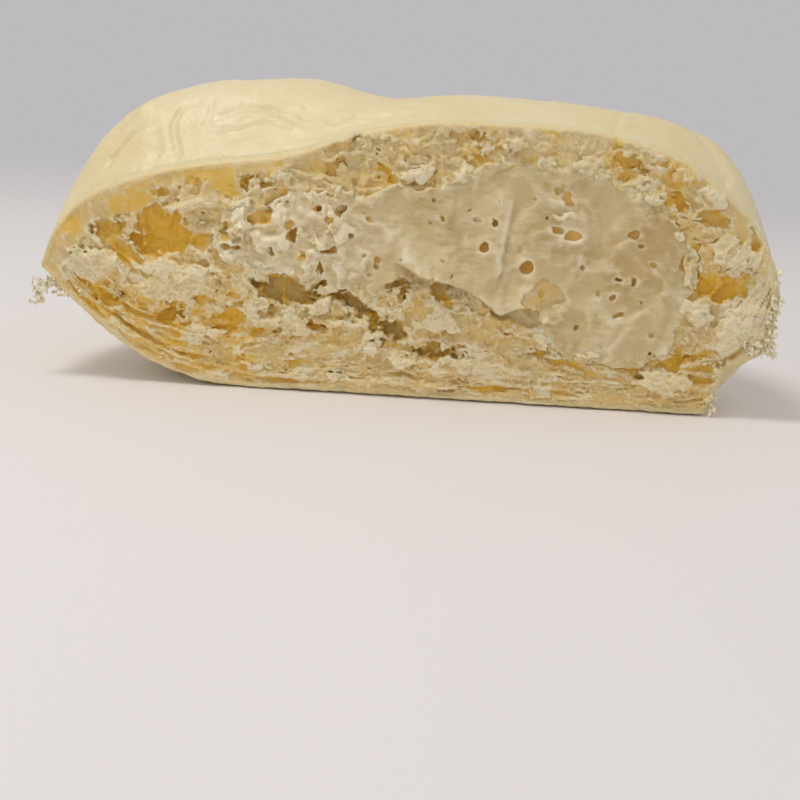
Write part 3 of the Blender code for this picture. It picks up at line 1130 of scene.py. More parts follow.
@dataclass
class TornBody:
    """What the crumb and the cream share: a block with a torn front, made on a fine grid.

    Low and high are the corners of the grid and grain is the width of one of its cells. Merging
    says how freely flat faces are joined, and scrap how many points a loose part needs to stay.
    """

    name: str
    low: Triple
    high: Triple
    grain: float = 0.2
    merging: float = 0.12
    hollows: tuple[Spot, ...] = ()
    tufts: tuple[Spot, ...] = ()
    scrap: int = 1500
    blur_rounds: int = 3
    margin: float = 3.0

    def outside(self, graph: GeometryGraph, place: Vec) -> tuple[Field, dict[Attribute, Field]]:
        """How far outside the body each place is, and the values that its finish needs."""
        raise NotImplementedError

    def within(self, place: Vec, spots: tuple[Spot, ...]) -> Field:
        """How far inside the nearest of some spots each place is: negative outside them all."""
        depth = None
        for spot in spots:
            reach_x = spot.half[0] + spot.half[1] + self.margin
            if not self.low[0] - reach_x < spot.at[0] < self.high[0] + reach_x:
                continue
            centre = (spot.at[0], 0.0, spot.at[1])
            sizes = (1 / spot.half[0], 1 / spot.depth, 1 / spot.half[1])
            reach = (place - centre).turned(-spot.slope).times(sizes).length()
            inside = (1.0 - reach) * min(spot.half)
            depth = inside if depth is None else depth.max(inside)
        return depth

    def build(self, material: bpy.types.Material) -> bpy.types.Object:
        """Runs the body's tree.

        Args:
            material: its finish.

        Returns:
            The piece.
        """
        graph = GeometryGraph(self.name)
        place = graph.place()
        outside, values = self.outside(graph, place)
        cube = graph.add("GeometryNodeVolumeCube")
        shift = FORM.shift()
        size = [high - low for low, high in zip(self.low, self.high)]
        for name, corner in (("Min", self.low), ("Max", self.high)):
            cube.inputs[name].default_value = [c * MM - s for c, s in zip(corner, shift)]
        for axis, length in zip("XYZ", size):
            cube.inputs[f"Resolution {axis}"].default_value = max(2, round(length / self.grain))
        graph.join((0.5 - outside * (0.3 / self.grain)).max(0.0).min(1.0), cube.inputs["Density"])
        mesh = graph.step_through(
            "GeometryNodeVolumeToMesh", cube.outputs[0], threshold=0.5, adaptivity=self.merging
        )
        mesh = self._without_scraps(graph, mesh)
        for name, value in values.items():
            mesh = graph.store(mesh, name, value)
        mesh = graph.store(mesh, Attribute.CREST, self._crest(graph))
        graph.finish(mesh, material)
        return graph.make_piece(self.name)

    def _crest(self, graph: GeometryGraph) -> Field:
        """How proud each point is of its surroundings, in millimetres."""
        position = Vec(graph, graph.add("GeometryNodeInputPosition").outputs[0]).scaled(1 / MM)
        normal = Vec(graph, graph.add("GeometryNodeInputNormal").outputs[0])
        return (position - graph.blurred(position, self.blur_rounds)).dot(normal)

    def _without_scraps(self, graph: GeometryGraph, mesh: Socket) -> Socket:
        """Drops sealed bubbles and loose specks."""
        island = graph.add("GeometryNodeInputMeshIsland")
        total = graph.add("GeometryNodeAccumulateField", data_type="INT", domain="POINT")
        graph.join(1, next(s for s in total.inputs if s.name == "Value" and s.enabled))
        graph.tree.links.new(island.outputs["Island Index"], total.inputs["Group Index"])
        small = graph.add("FunctionNodeCompare", data_type="INT", operation="LESS_THAN")
        inputs = [s for s in small.inputs if s.enabled]
        count = next(s for s in total.outputs if s.name == "Total" and s.enabled)
        graph.tree.links.new(count, inputs[0])
        inputs[1].default_value = self.scrap
        return graph.step_through("GeometryNodeDeleteGeometry", mesh, selection=small.outputs[0])


def between(graph: Graph, place: Vec, top: Outline, bottom: Outline) -> Field:
    """How far outside the strip between two outlines each place is."""
    x, _, z = place.parts()
    ends = (top.start, top.end)
    above = (z - graph.curve(top.at, x, ends)) * graph.curve(top.steepness, x, ends)
    below = (graph.curve(bottom.at, x, ends) - z) * graph.curve(bottom.steepness, x, ends)
    past = (x - (ends[0] + ends[1]) / 2).abs() - (ends[1] - ends[0]) / 2
    return above.max(below).max(past)


def frayed(graph: Graph, place: Vec) -> Vec:
    """Each place moved a little, so that the border between the crumb and the cream is ragged."""
    wide = graph.noise_vector(place, 5.0, 2.4, 2.0)
    return place + wide + graph.noise_vector(place, 1.7, 1.3, 4.0)


CAVERNS = spots(
    (-17.2, 14.0, 5.2, 2.0, 3.4, 6), (-19.3, 11.0, 2.2, 0.7, 1.8, 4),
    (-8.2, 12.5, 3.8, 1.4, 3.6, 18), (-3.4, 9.3, 3.0, 1.8, 3.8, 32),
    (2.8, 6.6, 4.4, 1.1, 3.4, 2), (-2.0, 15.0, 1.0, 1.8, 2.4, -8),
    (3.2, 15.3, 2.2, 1.4, 2.6, 15),
)


def cavernous(graph: Graph, place: Vec) -> Vec:
    """Each place moved a little, so that the caverns under the cream are jagged."""
    wide = graph.noise_vector(place, 3.6, 2.2, 2.0)
    return place + wide + graph.noise_vector(place, 1.5, 2.4, 5.0)


class Share(Enum):
    """The stretches that the crumb is made in: left of a crack, and above or below the cream."""

    LEFT = "left"
    TOP = "top"
    BASE = "base"


@dataclass
class Crumb(TornBody):
    """One stretch of the torn crumb round the cream.

    It ends behind at back and on the right at reach. Behind its front it draws in by the inset,
    so that it stays inside the skin. Neighbouring stretches overlap.
    """

    share: Share = Share.LEFT
    back: float = 7.0
    reach: float = 49.1
    inset: float = 1.4
    inset_span: Pair = (1.6, 4.0)
    torn_end: Pair = (40.4, 42.0)
    edge_radius: float = 2.2
    hole_radius: float = 0.5
    pores: Pair = (2.7, 1.15)
    pore_walls: Pair = (0.2, 0.1)
    behind_cream: float = 3.0
    crack: float = -9.0
    overlap: float = 0.4
    divide: Outline = Outline(((26, 20), (33, 12.5), (37, 8), (42, 7.4), (50, 7)))
    hollows: tuple[Spot, ...] = spots(
        (-34.4, 20.6, 3.9, 3.4, 2.9, -35), (-41.7, 20.4, 2.9, 1.6, 2.0, -5),
        (-33, 9.6, 2.0, 1.5, 2.1), (-41.6, 11.9, 2.7, 1.1, 1.9, 14), (-36, 7.2, 2.0, 0.8, 1.4),
        (-32.5, 26.2, 4.6, 1.4, 1.2, -9), (-22, 27.8, 3.2, 1.1, 0.8, -6),
        (-12.4, 30.8, 2.5, 1.3, 1.6, -8), (-5, 29.8, 2.0, 1.2, 1.5, 30),
        (6.4, 35.8, 2.8, 0.8, 1.1), (-9, 34.2, 2.2, 0.7, 1.0, -20), (20, 35.4, 0.9, 1.3, 1.0),
        (27.4, 33.6, 2.9, 1.1, 1.5, 30), (33.5, 29.2, 2.6, 1.1, 1.6, 35),
        (38.8, 27.0, 2.4, 1.4, 1.5, 22), (44.5, 24.0, 1.3, 2.4, 1.1, -15),
        (41.0, 18.0, 4.4, 2.1, 2.1), (37.4, 22, 0.9, 3.0, 1.9), (36.5, 7.6, 4.8, 1.4, 1.9, -18),
        (30.6, 4.8, 1.8, 0.9, 1.7), (41, 5, 1.6, 3.0, 0.9), (-12.5, 9.4, 1.6, 0.7, 1.6, 10),
        (12, 9.8, 2.0, 0.7, 1.6), (18.6, 7.2, 4.6, 0.9, 1.5), (-24, 10.6, 2.6, 0.9, 1.4, 6),
        (-25.6, 5.2, 3.0, 0.7, 1.0, 10), (-14, 3.8, 3.2, 0.6, 0.9, 4), (8, 3.2, 2.2, 0.5, 0.7),
    )
    tufts: tuple[Spot, ...] = spots(
        (-32.6, 15.6, 6.8, 1.1, 1.5, 6), (-43.4, 16.6, 3.8, 1.7, 0.5, 3),
        (-24.2, 18.0, 2.0, 1.4, 0.9, 20), (-13.0, 11.9, 1.6, 0.8, 1.1),
        (-16.3, 8.8, 3.0, 1.0, 1.2, -4), (-8.8, 9.9, 2.4, 0.8, 1.1, 12),
        (3.3, 10.6, 3.4, 1.2, 1.5, -2), (-5.2, 7.2, 2.0, 0.7, 1.2, 35),
        (-1.2, 4.9, 1.9, 0.8, 1.0, 20), (3.2, 4.3, 1.4, 0.7, 0.8), (6.7, 4.6, 1.5, 0.6, 0.8),
        (-27.5, 7.6, 3.4, 0.8, 0.9, 12), (34.2, 4.1, 5.4, 1.3, 1.1, 4),
        (39.2, 29.8, 2.4, 1.1, 0.9, 25), (34.9, 32.4, 1.7, 0.6, 0.8, 15),
        (42.6, 22.4, 3.6, 1.9, 0.9, 20), (44.4, 13.4, 3.8, 2.4, 1.1, -8),
        (42.8, 9.9, 1.8, 1.4, 1.0, -20), (37.6, 14.6, 2.0, 1.5, 1.0, 15),
        (33.6, 24.8, 1.6, 1.0, 0.8, 30), (-0.4, 30.3, 2.2, 0.8, 1.1, -6),
        (2.2, 27.6, 2.2, 1.0, 1.0), (12.4, 34.6, 1.4, 0.8, 0.8, 20),
        (22.0, 33.6, 2.4, 0.6, 0.7, 6),
    )
    sheets: tuple[Spot, ...] = spots(
        (-32.5, 13.2, 7.0, 2.0, 2.0, -4), (-43.4, 15.4, 3.6, 1.8, 2.0, -3),
        (-30.5, 24.4, 6.0, 1.2, 2.0, -10), (34.2, 4.1, 5.8, 1.5, 2.0, 3),
        (12.0, 5.0, 9.0, 0.7, 2.0, 2), (-4.0, 1.9, 12.0, 0.7, 2.0, 0),
        (-17.5, 9.4, 6.0, 0.9, 2.0, -4), (43.6, 12.0, 3.4, 2.4, 2.0, -10),
    )

    def beyond(self, graph: GeometryGraph, place: Vec) -> Field:
        """How far past the borders of its share each place is."""
        x, _, z = (place + graph.noise_vector(place, 2.6, 2.4, 2.0)).parts()
        right = self.crack - self.overlap - x
        if self.share is Share.LEFT:
            return x - self.crack - self.overlap
        height = z - graph.curve(self.divide.at, x, (self.divide.start, self.divide.end))
        if self.share is Share.TOP:
            return right.max(-height - self.overlap)
        return right.max(height - self.overlap)

    def outside(self, graph: GeometryGraph, place: Vec) -> tuple[Field, dict[Attribute, Field]]:
        """The crumb's shape.

        Args:
            graph: the tree to write it in.
            place: where each point is.

        Returns:
            How far outside the crumb each place is, and the values for its finish.
        """
        # The block: how far each place is under its roof, over its floor and outside it.
        x, y, z = place.parts()
        relief = graph.number("Relief depth", 1.0)
        top = graph.curve(FORM.cut_top.at, x, FORM.ends)
        foot = graph.curve(FORM.cut_bottom.at, x, FORM.ends)
        dome = graph.curve(FORM.dome_top.at, x, FORM.ends)
        under = graph.curve(FORM.underside.at, x, FORM.ends)
        pressed = y.max(0.0).bell(FORM.pressed_depth)
        torn = y.max(0.0).bell(FORM.torn_depth)
        roof = dome + (top - dome) * pressed - z
        roof = roof * graph.curve(FORM.cut_top.steepness, x, FORM.ends)
        above_foot = z - under - (foot - under) * torn
        floor = above_foot * graph.curve(FORM.cut_bottom.steepness, x, FORM.ends)
        floor = floor.max(above_foot - 2.5)
        tatter = graph.noise(place, 1.7, 3.0, 0.65)
        ragged = x.step(*self.torn_end) * z.step(23.5, 20.0) * y.step(5.0, 2.5)
        deep = y.step(*self.inset_span, 0.0, self.inset)
        roof_gap = tatter * 0.25 + deep - ragged * 0.45
        base_gap = 0.1 + tatter * 0.4 + deep - ragged * 0.4
        body = (roof_gap - roof).max(base_gap - floor).max(x - self.reach - tatter * 0.8)

        # The torn front: lace, shelves, smooth sheets, gel under the skin and strands.
        bend = graph.noise_vector(place, 4.0, 1.7, 2.0) + graph.noise_vector(place, 1.3, 0.9, 3.0)
        warped = place + bend
        low = (z - under).step(9.0, 4.0)
        flat = graph.vector(x * (0.58 - low * 0.2), y * 0.5, (z - under) * (1.0 + low * 1.6))
        flat = flat + bend.scaled(0.7)
        lace = graph.noise(flat, 1.9, 6.0, 0.72)
        gather = graph.noise(place, 5.5, 2.0)
        sheet = self.within(warped, self.sheets).step(-0.1, 0.7)
        tuft = self.within(warped, self.tufts) + lace * 1.4
        shelf = tuft.step(-0.3, 0.3)
        gel_width = 0.4 + x.step(-16.0, -24.0) * 3.9 + x.step(33.0, 39.0) * z.step(17.0, 22.0) * 2.8
        gel = (roof - gel_width + graph.noise(place, 2.6, 3.0) * 1.8).step(0.5, -0.3)
        torn_up = (lace + gather * 0.6).step(-0.03, 0.24) * (1.0 - gel * 0.8)
        rough = graph.noise(flat, 0.7, 3.0, 0.7)
        strand = graph.ridges(flat + bend.scaled(0.4), 1.5, 5.0, 3.0, 0.6)
        wave = graph.noise(place, 9.0, 1.0) * 0.6 + graph.noise(place, 3.4, 2.0) * 0.35
        rim = roof.step(1.1, 0.1).max(floor.step(1.0, 0.2))

        # The hollows, and the frosty rims that stand up round them.
        caverns = self.within(cavernous(graph, place), CAVERNS)
        hollows = self.within(warped + graph.noise_vector(place, 2.2, 2.0, 4.0), self.hollows)
        hollows = hollows.max(caverns) - strand * 0.35 + graph.noise(flat, 1.2, 3.0) * 0.3
        frost = torn_up.max(shelf * (0.75 + rough * 0.5)) * (1.0 - sheet * 0.6)
        frost = frost.max(hollows.bell(0.45) * (0.5 + lace))
        frost = frost.max((caverns + 0.35).bell(0.45) * 0.75)
        proud = frost * (0.3 + rough * 0.6) + shelf * 0.35
        proud = proud + strand * (0.3 - gel * 0.2) + sheet * 0.5
        front = (wave - proud) * relief * (1.0 - rim * 0.8) * (1.0 - low * 0.3) + 0.4 - rim * 0.4
        cream = between(graph, frayed(graph, place), FORM.cream_top, FORM.cream_bottom)
        front = front + cream.step(-0.3, -1.5) * 1.3 - cream.bell(0.7) * 0.25
        beyond = self.beyond(graph, place)
        front = front + beyond.step(-1.2, 0.0) * 0.35
        depth = y - front

        # Two sizes of pores, some of them closed, that get narrower with depth.
        walls, luck = graph.cells(flat, self.pores[0], "DISTANCE_TO_EDGE")
        big = walls - self.pore_walls[0] - luck.step(0.62, 0.42) * 3.0
        big = big - depth.power(2.0) * 0.8
        walls, luck = graph.cells(flat + bend.scaled(0.5), self.pores[1], "DISTANCE_TO_EDGE")
        fine = walls - self.pore_walls[1] - luck.step(0.5, 0.3) * 2.0
        fine = fine - (depth * 1.6).power(2.0) * 0.4
        cells = big.max(fine) - gel * 2.0 - shelf * 0.5 - sheet * 1.5 - rim * 0.6
        holes = hollows.smooth_max(cells, 0.3)

        outside = (front - y).smooth_max(body, self.edge_radius)
        outside = outside.smooth_max(holes - deep * 2.0, self.hole_radius)
        outside = outside.max(y - self.back).max(-cream - self.behind_cream).max(beyond)

        # What the finish needs. Some of it is painted light: a painted glow in the crumb near the
        # top under the skin, a painted amber glow where the crumb is deep, and painted shade in the
        # caverns.
        patch = graph.noise(place, 6.0, 3.0).step(-0.1, 0.3)
        # Painted glow: within about 8 mm of the top the crumb is painted more amber and paler, as
        # if lit through the thin skin.
        upper = (roof + tatter * 3.0).step(8.0, 1.0)
        amber = gel * (0.1 + patch * 0.4) * roof.step(0.5, 1.6) + patch * (0.2 + upper * 0.3)
        amber = amber + x.step(-14.0, -26.0) * z.step(15.5, 12.5) * 0.35
        # Painted glow: deeper places are painted amber, on top of the gel's own amber colour.
        pit = (depth.max(0.0).step(0.25, 1.5) + amber).min(1.0) * (1.0 - sheet * 0.7)
        frost = (frost.max(ragged * 0.8).max(sheet * 0.55) + strand * 0.35) * depth.step(1.0, 0.15)
        # The crumb's own paler band by the skin, with the painted glow near the top added below.
        rind_and_top_glow = (roof + tatter * 0.8).step(0.9, 0.1)
        rind_and_top_glow = rind_and_top_glow.max((floor + tatter * 0.7).step(1.6, 0.3) * 0.85)
        rind_and_top_glow = rind_and_top_glow.max(upper * (0.55 - gel.max(patch) * 0.4))
        # Painted shade in the caverns under the cream.
        cavern_shade = caverns.step(-0.15, 0.4)
        values = {
            Attribute.FROST: frost, Attribute.PIT: pit, Attribute.RIND_AND_TOP_GLOW: rind_and_top_glow, Attribute.CAVERN_SHADE: cavern_shade,
        }
        return outside, values


@dataclass
class Cream(TornBody):
    """The whipped cream that fills the pocket."""

    name: str = "cream_filling"
    low: Triple = (-30.5, -3.2, 3.6)
    high: Triple = (39.8, 7.0, 35.6)
    grain: float = 0.18
    back: float = 6.0
    lip: Outline = Outline((
        (-4, 19), (-1.9, 18.3), (1, 16.7), (5.4, 15.8), (8.8, 14.3), (11.7, 12.4),
        (14.6, 13.6), (18, 12.6),
    ))
    hollows: tuple[Spot, ...] = spots(
        (14.7, 19.1, 0.9, 0.95, 1.1), (-1.0, 18.9, 0.75, 0.6, 0.9), (10.0, 24.6, 0.5, 0.65, 0.7),
        (7.6, 24.8, 0.6, 0.4, 0.5), (8.9, 21.4, 0.7, 0.75, 0.8, -20), (3.0, 24.8, 0.35, 0.35, 0.5),
        (18.0, 29.4, 0.6, 0.5, 0.7), (19.2, 28.6, 0.6, 0.8, 0.6), (19.6, 27.8, 0.7, 0.5, 0.6),
        (18.4, 24.2, 0.9, 0.5, 0.6), (20.4, 23.6, 1.2, 0.7, 0.6), (28.5, 24.3, 0.8, 0.7, 0.7),
        (29.6, 22.8, 0.5, 0.4, 0.6), (27.0, 18.2, 0.5, 0.35, 0.5), (29.0, 18.0, 0.4, 0.7, 0.6),
        (26.4, 15.8, 0.4, 0.5, 0.5), (27.4, 13.4, 0.9, 0.35, 0.5, -25),
        (-17.5, 25.2, 0.5, 0.5, 0.7), (-10.2, 25.2, 0.6, 1.0, 1.0, 25),
        (-13.4, 24.6, 0.5, 0.9, 0.8, -20), (-16.6, 21.3, 0.95, 0.95, 1.1),
        (-19.4, 19.4, 0.65, 0.6, 0.9), (-12.0, 19.3, 1.5, 0.55, 0.9, -18),
        (-12.9, 17.4, 0.4, 0.75, 0.8, 10), (-21.4, 23.4, 2.2, 0.9, 1.3, -25),
        (-19.8, 25.6, 1.3, 0.5, 0.9, -25), (-26.6, 21.4, 1.3, 0.9, 1.1, 40),
        (-24.8, 19.2, 1.6, 0.6, 0.9, 15), (-7.2, 19.4, 0.5, 0.35, 0.6),
        (-6.2, 16.6, 0.45, 0.35, 0.6), (-6.4, 24.2, 0.7, 0.45, 0.6), (22, 19.6, 0.4, 0.35, 0.4),
        (23.6, 27.4, 0.5, 0.4, 0.4), (31.5, 20.4, 0.45, 0.4, 0.5), (24.4, 16.2, 0.35, 0.5, 0.4),
    )
    nook: Spot = Spot((17.4, 15.3), (2.7, 2.2), 2.4)
    tufts: tuple[Spot, ...] = spots(
        (-23.8, 22.9, 1.5, 1.5, 1.1), (-20.1, 20.9, 2.4, 0.9, 1.0, 8),
        (-25.0, 17.6, 2.2, 1.0, 0.9, 10), (17.8, 12.3, 2.4, 0.9, 0.8, 6),
        (-15.0, 18.2, 2.0, 0.7, 0.5, -12), (-9.6, 22.0, 2.2, 0.8, 0.4, 10),
        (19.4, 26.0, 1.6, 0.8, 0.4, 30),
    )

    def outside(self, graph: GeometryGraph, place: Vec) -> tuple[Field, dict[Attribute, Field]]:
        """The cream's shape.

        Args:
            graph: the tree to write it in.
            place: where each point is.

        Returns:
            How far outside the cream each place is, and the values for its finish.
        """
        # The strip that it fills, with soft waves, creases and pebbles on its front.
        x, y, z = place.parts()
        relief = graph.number("Relief depth", 1.0)
        spongy = x.step(-3.0, -13.0)
        warped = frayed(graph, place)
        strip = between(graph, warped, FORM.cream_top, FORM.cream_bottom) - 0.4
        border = strip.step(-3.0, -0.3)
        swirl = place + graph.noise_vector(place, 6.0, 3.0, 1.0)
        wave = graph.noise(place, 11.0, 1.0) * 0.9
        wave = wave + graph.noise(swirl, 4.4, 2.0) * (0.8 + spongy * 0.2)
        crease = graph.ridges(swirl, 6.5, 4.0, 1.0)
        pebble = graph.noise(place, 1.1, 3.0, 0.6) * (0.12 + (spongy + border) * 0.16)
        sweep_x, _, sweep_z = swirl.parts()
        along, across = sweep_x * 0.8 + sweep_z * 0.6, sweep_z * 0.8 - sweep_x * 0.6
        sweep = graph.vector(along * 0.2, y, across)
        sweep = graph.noise(sweep, 1.3, 4.0, 0.6) * 0.28

        # The fold and the lip, the scoop under the lip, the ragged shelves and the nook.
        fold_line = x - 10.9 - (z - 18.0) * 0.14 + graph.noise(place, 4.0, 2.0) * 0.9
        fold = fold_line.step(-5.0, -0.3) * fold_line.step(0.35, -0.25)
        fold = fold * z.step(15.0, 18.0) * z.step(30.5, 26.0)
        lip_line = z - graph.curve(self.lip.at, x, (self.lip.start, self.lip.end))
        lip_line = lip_line + graph.noise(place, 2.0, 2.0) * 0.35
        held = x.step(-3.5, -1.0) * x.step(18.5, 15.5)
        lip = lip_line.step(-0.25, 0.35) * (lip_line - 0.2).bell(3.0) * held
        scoop = lip_line.step(0.1, -0.3) * lip_line.bell(4.4) * held
        shelf = self.within(warped, self.tufts).step(-0.4, 0.4)
        jag = graph.noise(warped, 2.8, 5.0, 0.6).step(-0.06, 0.3) * spongy.max(border * 0.6)
        nook = self.within(warped, (self.nook,)).step(0.0, 0.5)
        grit = graph.noise(place, 0.9, 3.0, 0.65)
        smear = graph.noise(warped, 1.5, 4.0, 0.7) * scoop
        proud = fold * 0.7 + lip * 1.2 - scoop * 1.5 + smear
        proud = proud + jag * 0.55 + crease * 0.3 + shelf * 0.6
        front = (wave + sweep + pebble - proud) * relief + border * 0.15 + nook * (0.9 + grit * 0.7)

        # The bubbles: some placed, the rest by chance.
        ripple = graph.noise_vector(place, 1.4, 0.45, 2.0)
        ripple = ripple + graph.noise_vector(place, 2.4, 1.6, 1.0).scaled(spongy)
        caverns = self.within(cavernous(graph, place), CAVERNS)
        bubbles = self.within(place + ripple, self.hollows).max(caverns)
        cell, luck = graph.cells(place + graph.noise_vector(place, 2.0, 0.6), 1.7)
        crowd = graph.noise(place, 6.0, 1.0).step(-0.15, 0.35)
        small = luck.step(0.3, 1.0, -0.4, 0.45) + crowd * 0.2 + spongy * 0.28 - 0.08 - cell
        small = small - (y - front).step(0.6, 1.4)
        holes = bubbles.max(small)
        outside = (front - y).smooth_max(holes, 0.2).max(y - self.back).smooth_max(strip, 0.6)

        # What the finish needs, painted light among it: a painted amber glow in the bubbles, the
        # scoop and the nook, painted highlights on the lip, the creases, the fold's edge and the
        # bubbles' rims, and painted shade in the caverns.
        depth = (y - front).max(0.0)
        # Painted glow: bubbles, the scoop under the lip and the nook are painted amber.
        pit = depth.step(0.15, 0.9) + scoop * 0.12 + nook * (0.45 - grit)
        # The frost value holds pale flecks of the cream itself and painted highlights on the lip,
        # the creases, along the fold's edge and round the bubbles.
        frost = jag * 0.6 + lip * 0.35 + shelf * 0.7 + crease * 0.2 + spongy * 0.25 + nook * grit
        frost = frost + fold_line.bell(0.6) * fold * 0.6 + (bubbles + 0.2).bell(0.22) * 0.3
        # Painted shade in the caverns under the cream.
        cavern_shade = caverns.step(-0.15, 0.4)
        return outside, {Attribute.FROST: frost, Attribute.PIT: pit, Attribute.CAVERN_SHADE: cavern_shade}


@dataclass(frozen=True)
class Cluster:
    """Where shreds gather: the middle, the half sizes, how many, and their size."""

    centre: Triple
    half: Triple
    count: int
    size: float


@dataclass
class Shreds:
    """Fluff and flakes of crumb that hang from the two torn ends."""

    seed: int = 7
    seeds_apart: float = 10.0
    raggedness: float = 0.3
    flake_rounds: int = 2
    thinnest: Triple = (0.4, 0.4, 0.1)
    widest: Triple = (2.6, 1.6, 0.35)
    clusters: tuple[Cluster, ...] = (
        Cluster((-49.2, 1.4, 12.7), (1.3, 0.9, 0.6), 70, 0.24),
        Cluster((-50.8, 1.3, 11.2), (0.9, 0.6, 1.2), 60, 0.2),
        Cluster((-46.8, 1.3, 11.8), (1.8, 0.8, 0.8), 50, 0.22),
        Cluster((48.2, 1.2, 12.8), (0.7, 1.4, 2.6), 130, 0.3),
        Cluster((46.8, 1.0, 9.9), (1.8, 1.2, 0.7), 100, 0.28),
        Cluster((48.3, 1.2, 17.4), (0.5, 1.4, 2.8), 90, 0.28),
        Cluster((41.5, 1.2, 4.2), (0.4, 1.2, 2.8), 70, 0.26),
    )

    def build(self, material: bpy.types.Material) -> bpy.types.Object:
        """Scatters the shreds.

        Args:
            material: their finish.

        Returns:
            The piece.
        """
        graph = GeometryGraph("shreds")
        seed = graph.number("Seed", self.seed)
        ragged = graph.number("Raggedness", self.raggedness)
        joined = graph.add("GeometryNodeJoinGeometry")
        flake = graph.add("GeometryNodeMeshIcoSphere")
        flake.inputs["Radius"].default_value = MM
        flake.inputs["Subdivisions"].default_value = self.flake_rounds
        for index, cluster in enumerate(self.clusters):
            points = graph.add("GeometryNodePoints")
            points.inputs["Count"].default_value = cluster.count
            own_seed = seed + self.seeds_apart * index
            offset = self._random(graph, own_seed, (-1.0,) * 3, (1.0,) * 3)
            bunched = offset.scaled(offset.length())
            centre = tuple(c * MM - s for c, s in zip(cluster.centre, FORM.shift()))
            place = bunched.times(tuple(h * MM for h in cluster.half)) + centre
            graph.join(place, points.inputs["Position"])
            instance = graph.add("GeometryNodeInstanceOnPoints")
            graph.tree.links.new(points.outputs[0], instance.inputs["Points"])
            graph.tree.links.new(flake.outputs[0], instance.inputs["Instance"])
            turn = self._random(graph, own_seed + 1.0, (0.0,) * 3, (math.tau,) * 3)
            graph.join(turn, instance.inputs["Rotation"])
            scale = self._random(graph, own_seed + 2.0, self.thinnest, self.widest)
            graph.join(scale.scaled(cluster.size), instance.inputs["Scale"])
            graph.tree.links.new(instance.outputs[0], joined.inputs[0])
        mesh = graph.step_through("GeometryNodeRealizeInstances", joined.outputs[0])
        bend = graph.noise_vector(graph.place(), 0.45, 1.0, 3.0).scaled(ragged * MM)
        mesh = graph.step_through("GeometryNodeSetPosition", mesh, offset=bend)
        graph.finish(mesh, material)
        return graph.make_piece("shreds")

    def _random(self, graph: GeometryGraph, seed: Field, low: Triple, high: Triple) -> Vec:
        """A random vector for each point, with each of its parts between two bounds."""
        node = graph.add("FunctionNodeRandomValue", data_type="FLOAT_VECTOR")
        node.inputs["Min"].default_value = low
        node.inputs["Max"].default_value = high
        graph.join(seed, node.inputs["Seed"])
        return Vec(graph, node.outputs["Value"])


# ---------------------------------------------------------------------------------------------
# The studio
# ---------------------------------------------------------------------------------------------


@dataclass(frozen=True)
class Lamp:
    """A soft square light: where it stands from the bun's middle, its size and its power."""

    name: str
    place: Triple
    size: float
    power: float
    colour: Colour = (1.0, 0.97, 0.92)


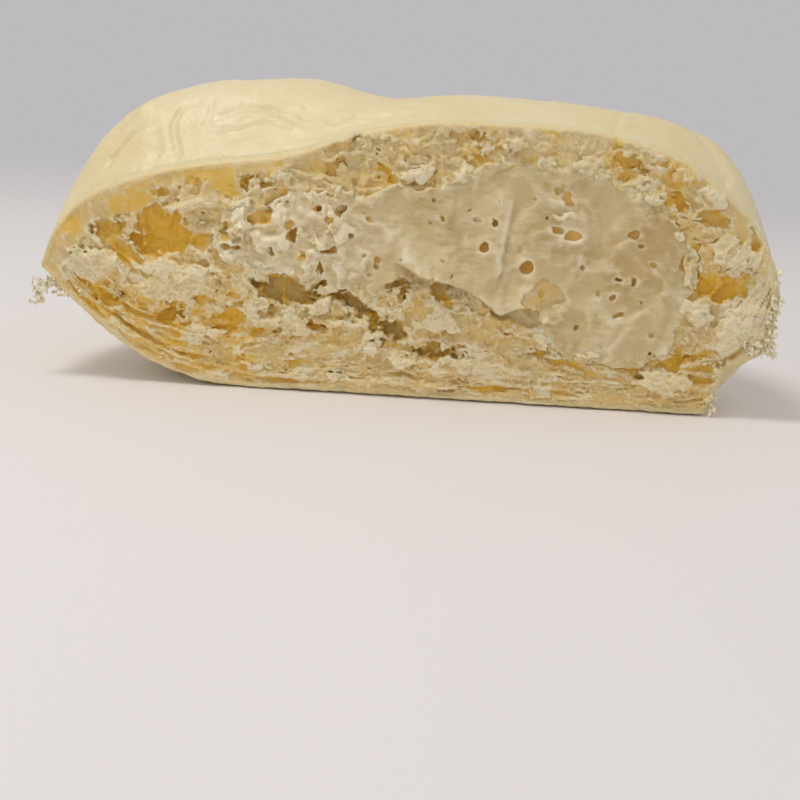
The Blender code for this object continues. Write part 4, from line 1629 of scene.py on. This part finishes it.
@dataclass
class Studio:
    """The floor, the lights, the backdrop and the camera."""

    elevation: float = 13.5
    roll: float = 3.6
    distance: float = 204.6
    lens: float = 67.5
    aim: Triple = (-1.1, 0.0, -0.2)
    backdrop: Colour = (0.53, 0.52, 0.535)
    backdrop_strength: float = 0.95
    floor_radius: float = 500.0
    lit_height: float = 20.0
    nearest: float = 10.0
    lamps: tuple[Lamp, ...] = (
        Lamp("overhead", (-130, -80, 400), 130, 0.64),
        Lamp("front_fill", (-180, -420, 180), 200, 0.17),
        Lamp("side_fill", (380, 60, 260), 260, 0.1),
    )

    def build(self) -> None:
        """Sets up everything that isn't the bun."""
        self._floor()
        self._world()
        for lamp in self.lamps:
            self._lamp(lamp)
        self._camera()
        bpy.context.scene.view_settings.view_transform = "Standard"

    def _floor(self) -> None:
        """A round floor at the height of the bun's foot."""
        radius = self.floor_radius * MM
        angles = [math.tau * side / FLOOR_SIDES for side in range(FLOOR_SIDES)]
        ring = [(radius * math.cos(angle), radius * math.sin(angle), 0.0) for angle in angles]
        mesh = bpy.data.meshes.new("floor")
        mesh.from_pydata(ring, [], [tuple(range(FLOOR_SIDES))])
        mesh.materials.append(FloorFinish().material())
        add_object("floor", mesh)

    def _world(self) -> None:
        """An even pale backdrop that also lights the shadows."""
        world = bpy.data.worlds.new("backdrop")
        world.use_nodes = True
        background = world.node_tree.nodes["Background"]
        background.inputs["Color"].default_value = (*self.backdrop, 1.0)
        background.inputs["Strength"].default_value = self.backdrop_strength
        bpy.context.scene.world = world

    def _lamp(self, lamp: Lamp) -> None:
        """One soft light that faces the bun."""
        data = bpy.data.lights.new(lamp.name, "AREA")
        data.size = lamp.size * MM
        data.energy = lamp.power
        data.color = lamp.colour
        light = add_object(lamp.name, data)
        light.location = Vector(lamp.place) * MM
        towards = Vector((0, 0, self.lit_height * MM)) - light.location
        light.rotation_euler = towards.to_track_quat("-Z", "Y").to_euler()

    def _camera(self) -> None:
        """A camera that looks down a little on the cut, turned slightly about its own axis."""
        lift, turn = math.radians(self.elevation), math.radians(self.roll)
        back = Vector((0, -math.cos(lift), math.sin(lift)))
        level = Vector((1, 0, 0))
        upright = back.cross(level)
        right = level * math.cos(turn) + upright * math.sin(turn)
        up = upright * math.cos(turn) - level * math.sin(turn)
        aim = Vector(self.aim) * MM - FORM.shift()
        data = bpy.data.cameras.new("camera")
        data.lens = self.lens
        data.clip_start = self.nearest * MM
        camera = add_object("camera", data)
        turned = Matrix((right, up, back)).transposed().to_4x4()
        camera.matrix_world = Matrix.Translation(aim + back * self.distance * MM) @ turned
        bpy.context.scene.camera = camera


# ---------------------------------------------------------------------------------------------
# The whole
# ---------------------------------------------------------------------------------------------


CRUMB_BOXES = {
    Share.LEFT: ((-51.4, -3.0, -0.4), (-6.4, 7.2, 36.6)),
    Share.TOP: ((-11.6, -3.0, 5.4), (50.6, 7.2, 39.0)),
    Share.BASE: ((-11.6, -3.0, -0.4), (50.6, 7.2, 16.4)),
}


def dress(piece: bpy.types.Object, slot: Slot, *nodes: str) -> None:
    """Ties a finished piece to the part and reports it.

    Args:
        piece: the piece.
        slot: the material slot meant for its finish; not used.
        nodes: the CAD nodes that it stands for.
    """
    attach(piece, ROOT_BODY)
    if nodes:
        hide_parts(*nodes)
    piece.data.calc_loop_triangles()
    LOG.info("%s: %d triangles", piece.name, len(piece.data.loop_triangles))


def main() -> None:
    """Builds every piece in order."""
    logging.basicConfig(level=logging.INFO, format="%(message)s")
    dress(Skin().build(), Slot.BREAD, "bread")
    crumb_material = CrumbFinish().material()
    for share, (low, high) in CRUMB_BOXES.items():
        crumb = Crumb(f"crumb_{share.value}", low, high, share=share)
        dress(crumb.build(crumb_material), Slot.BREAD, "bread")
    dress(Shreds().build(FluffFinish().material()), Slot.BREAD, "bread")
    dress(Cream().build(CreamFinish().material()), Slot.CREAM, "cream")
    Studio().build()


if __name__ == "__main__":
    main()
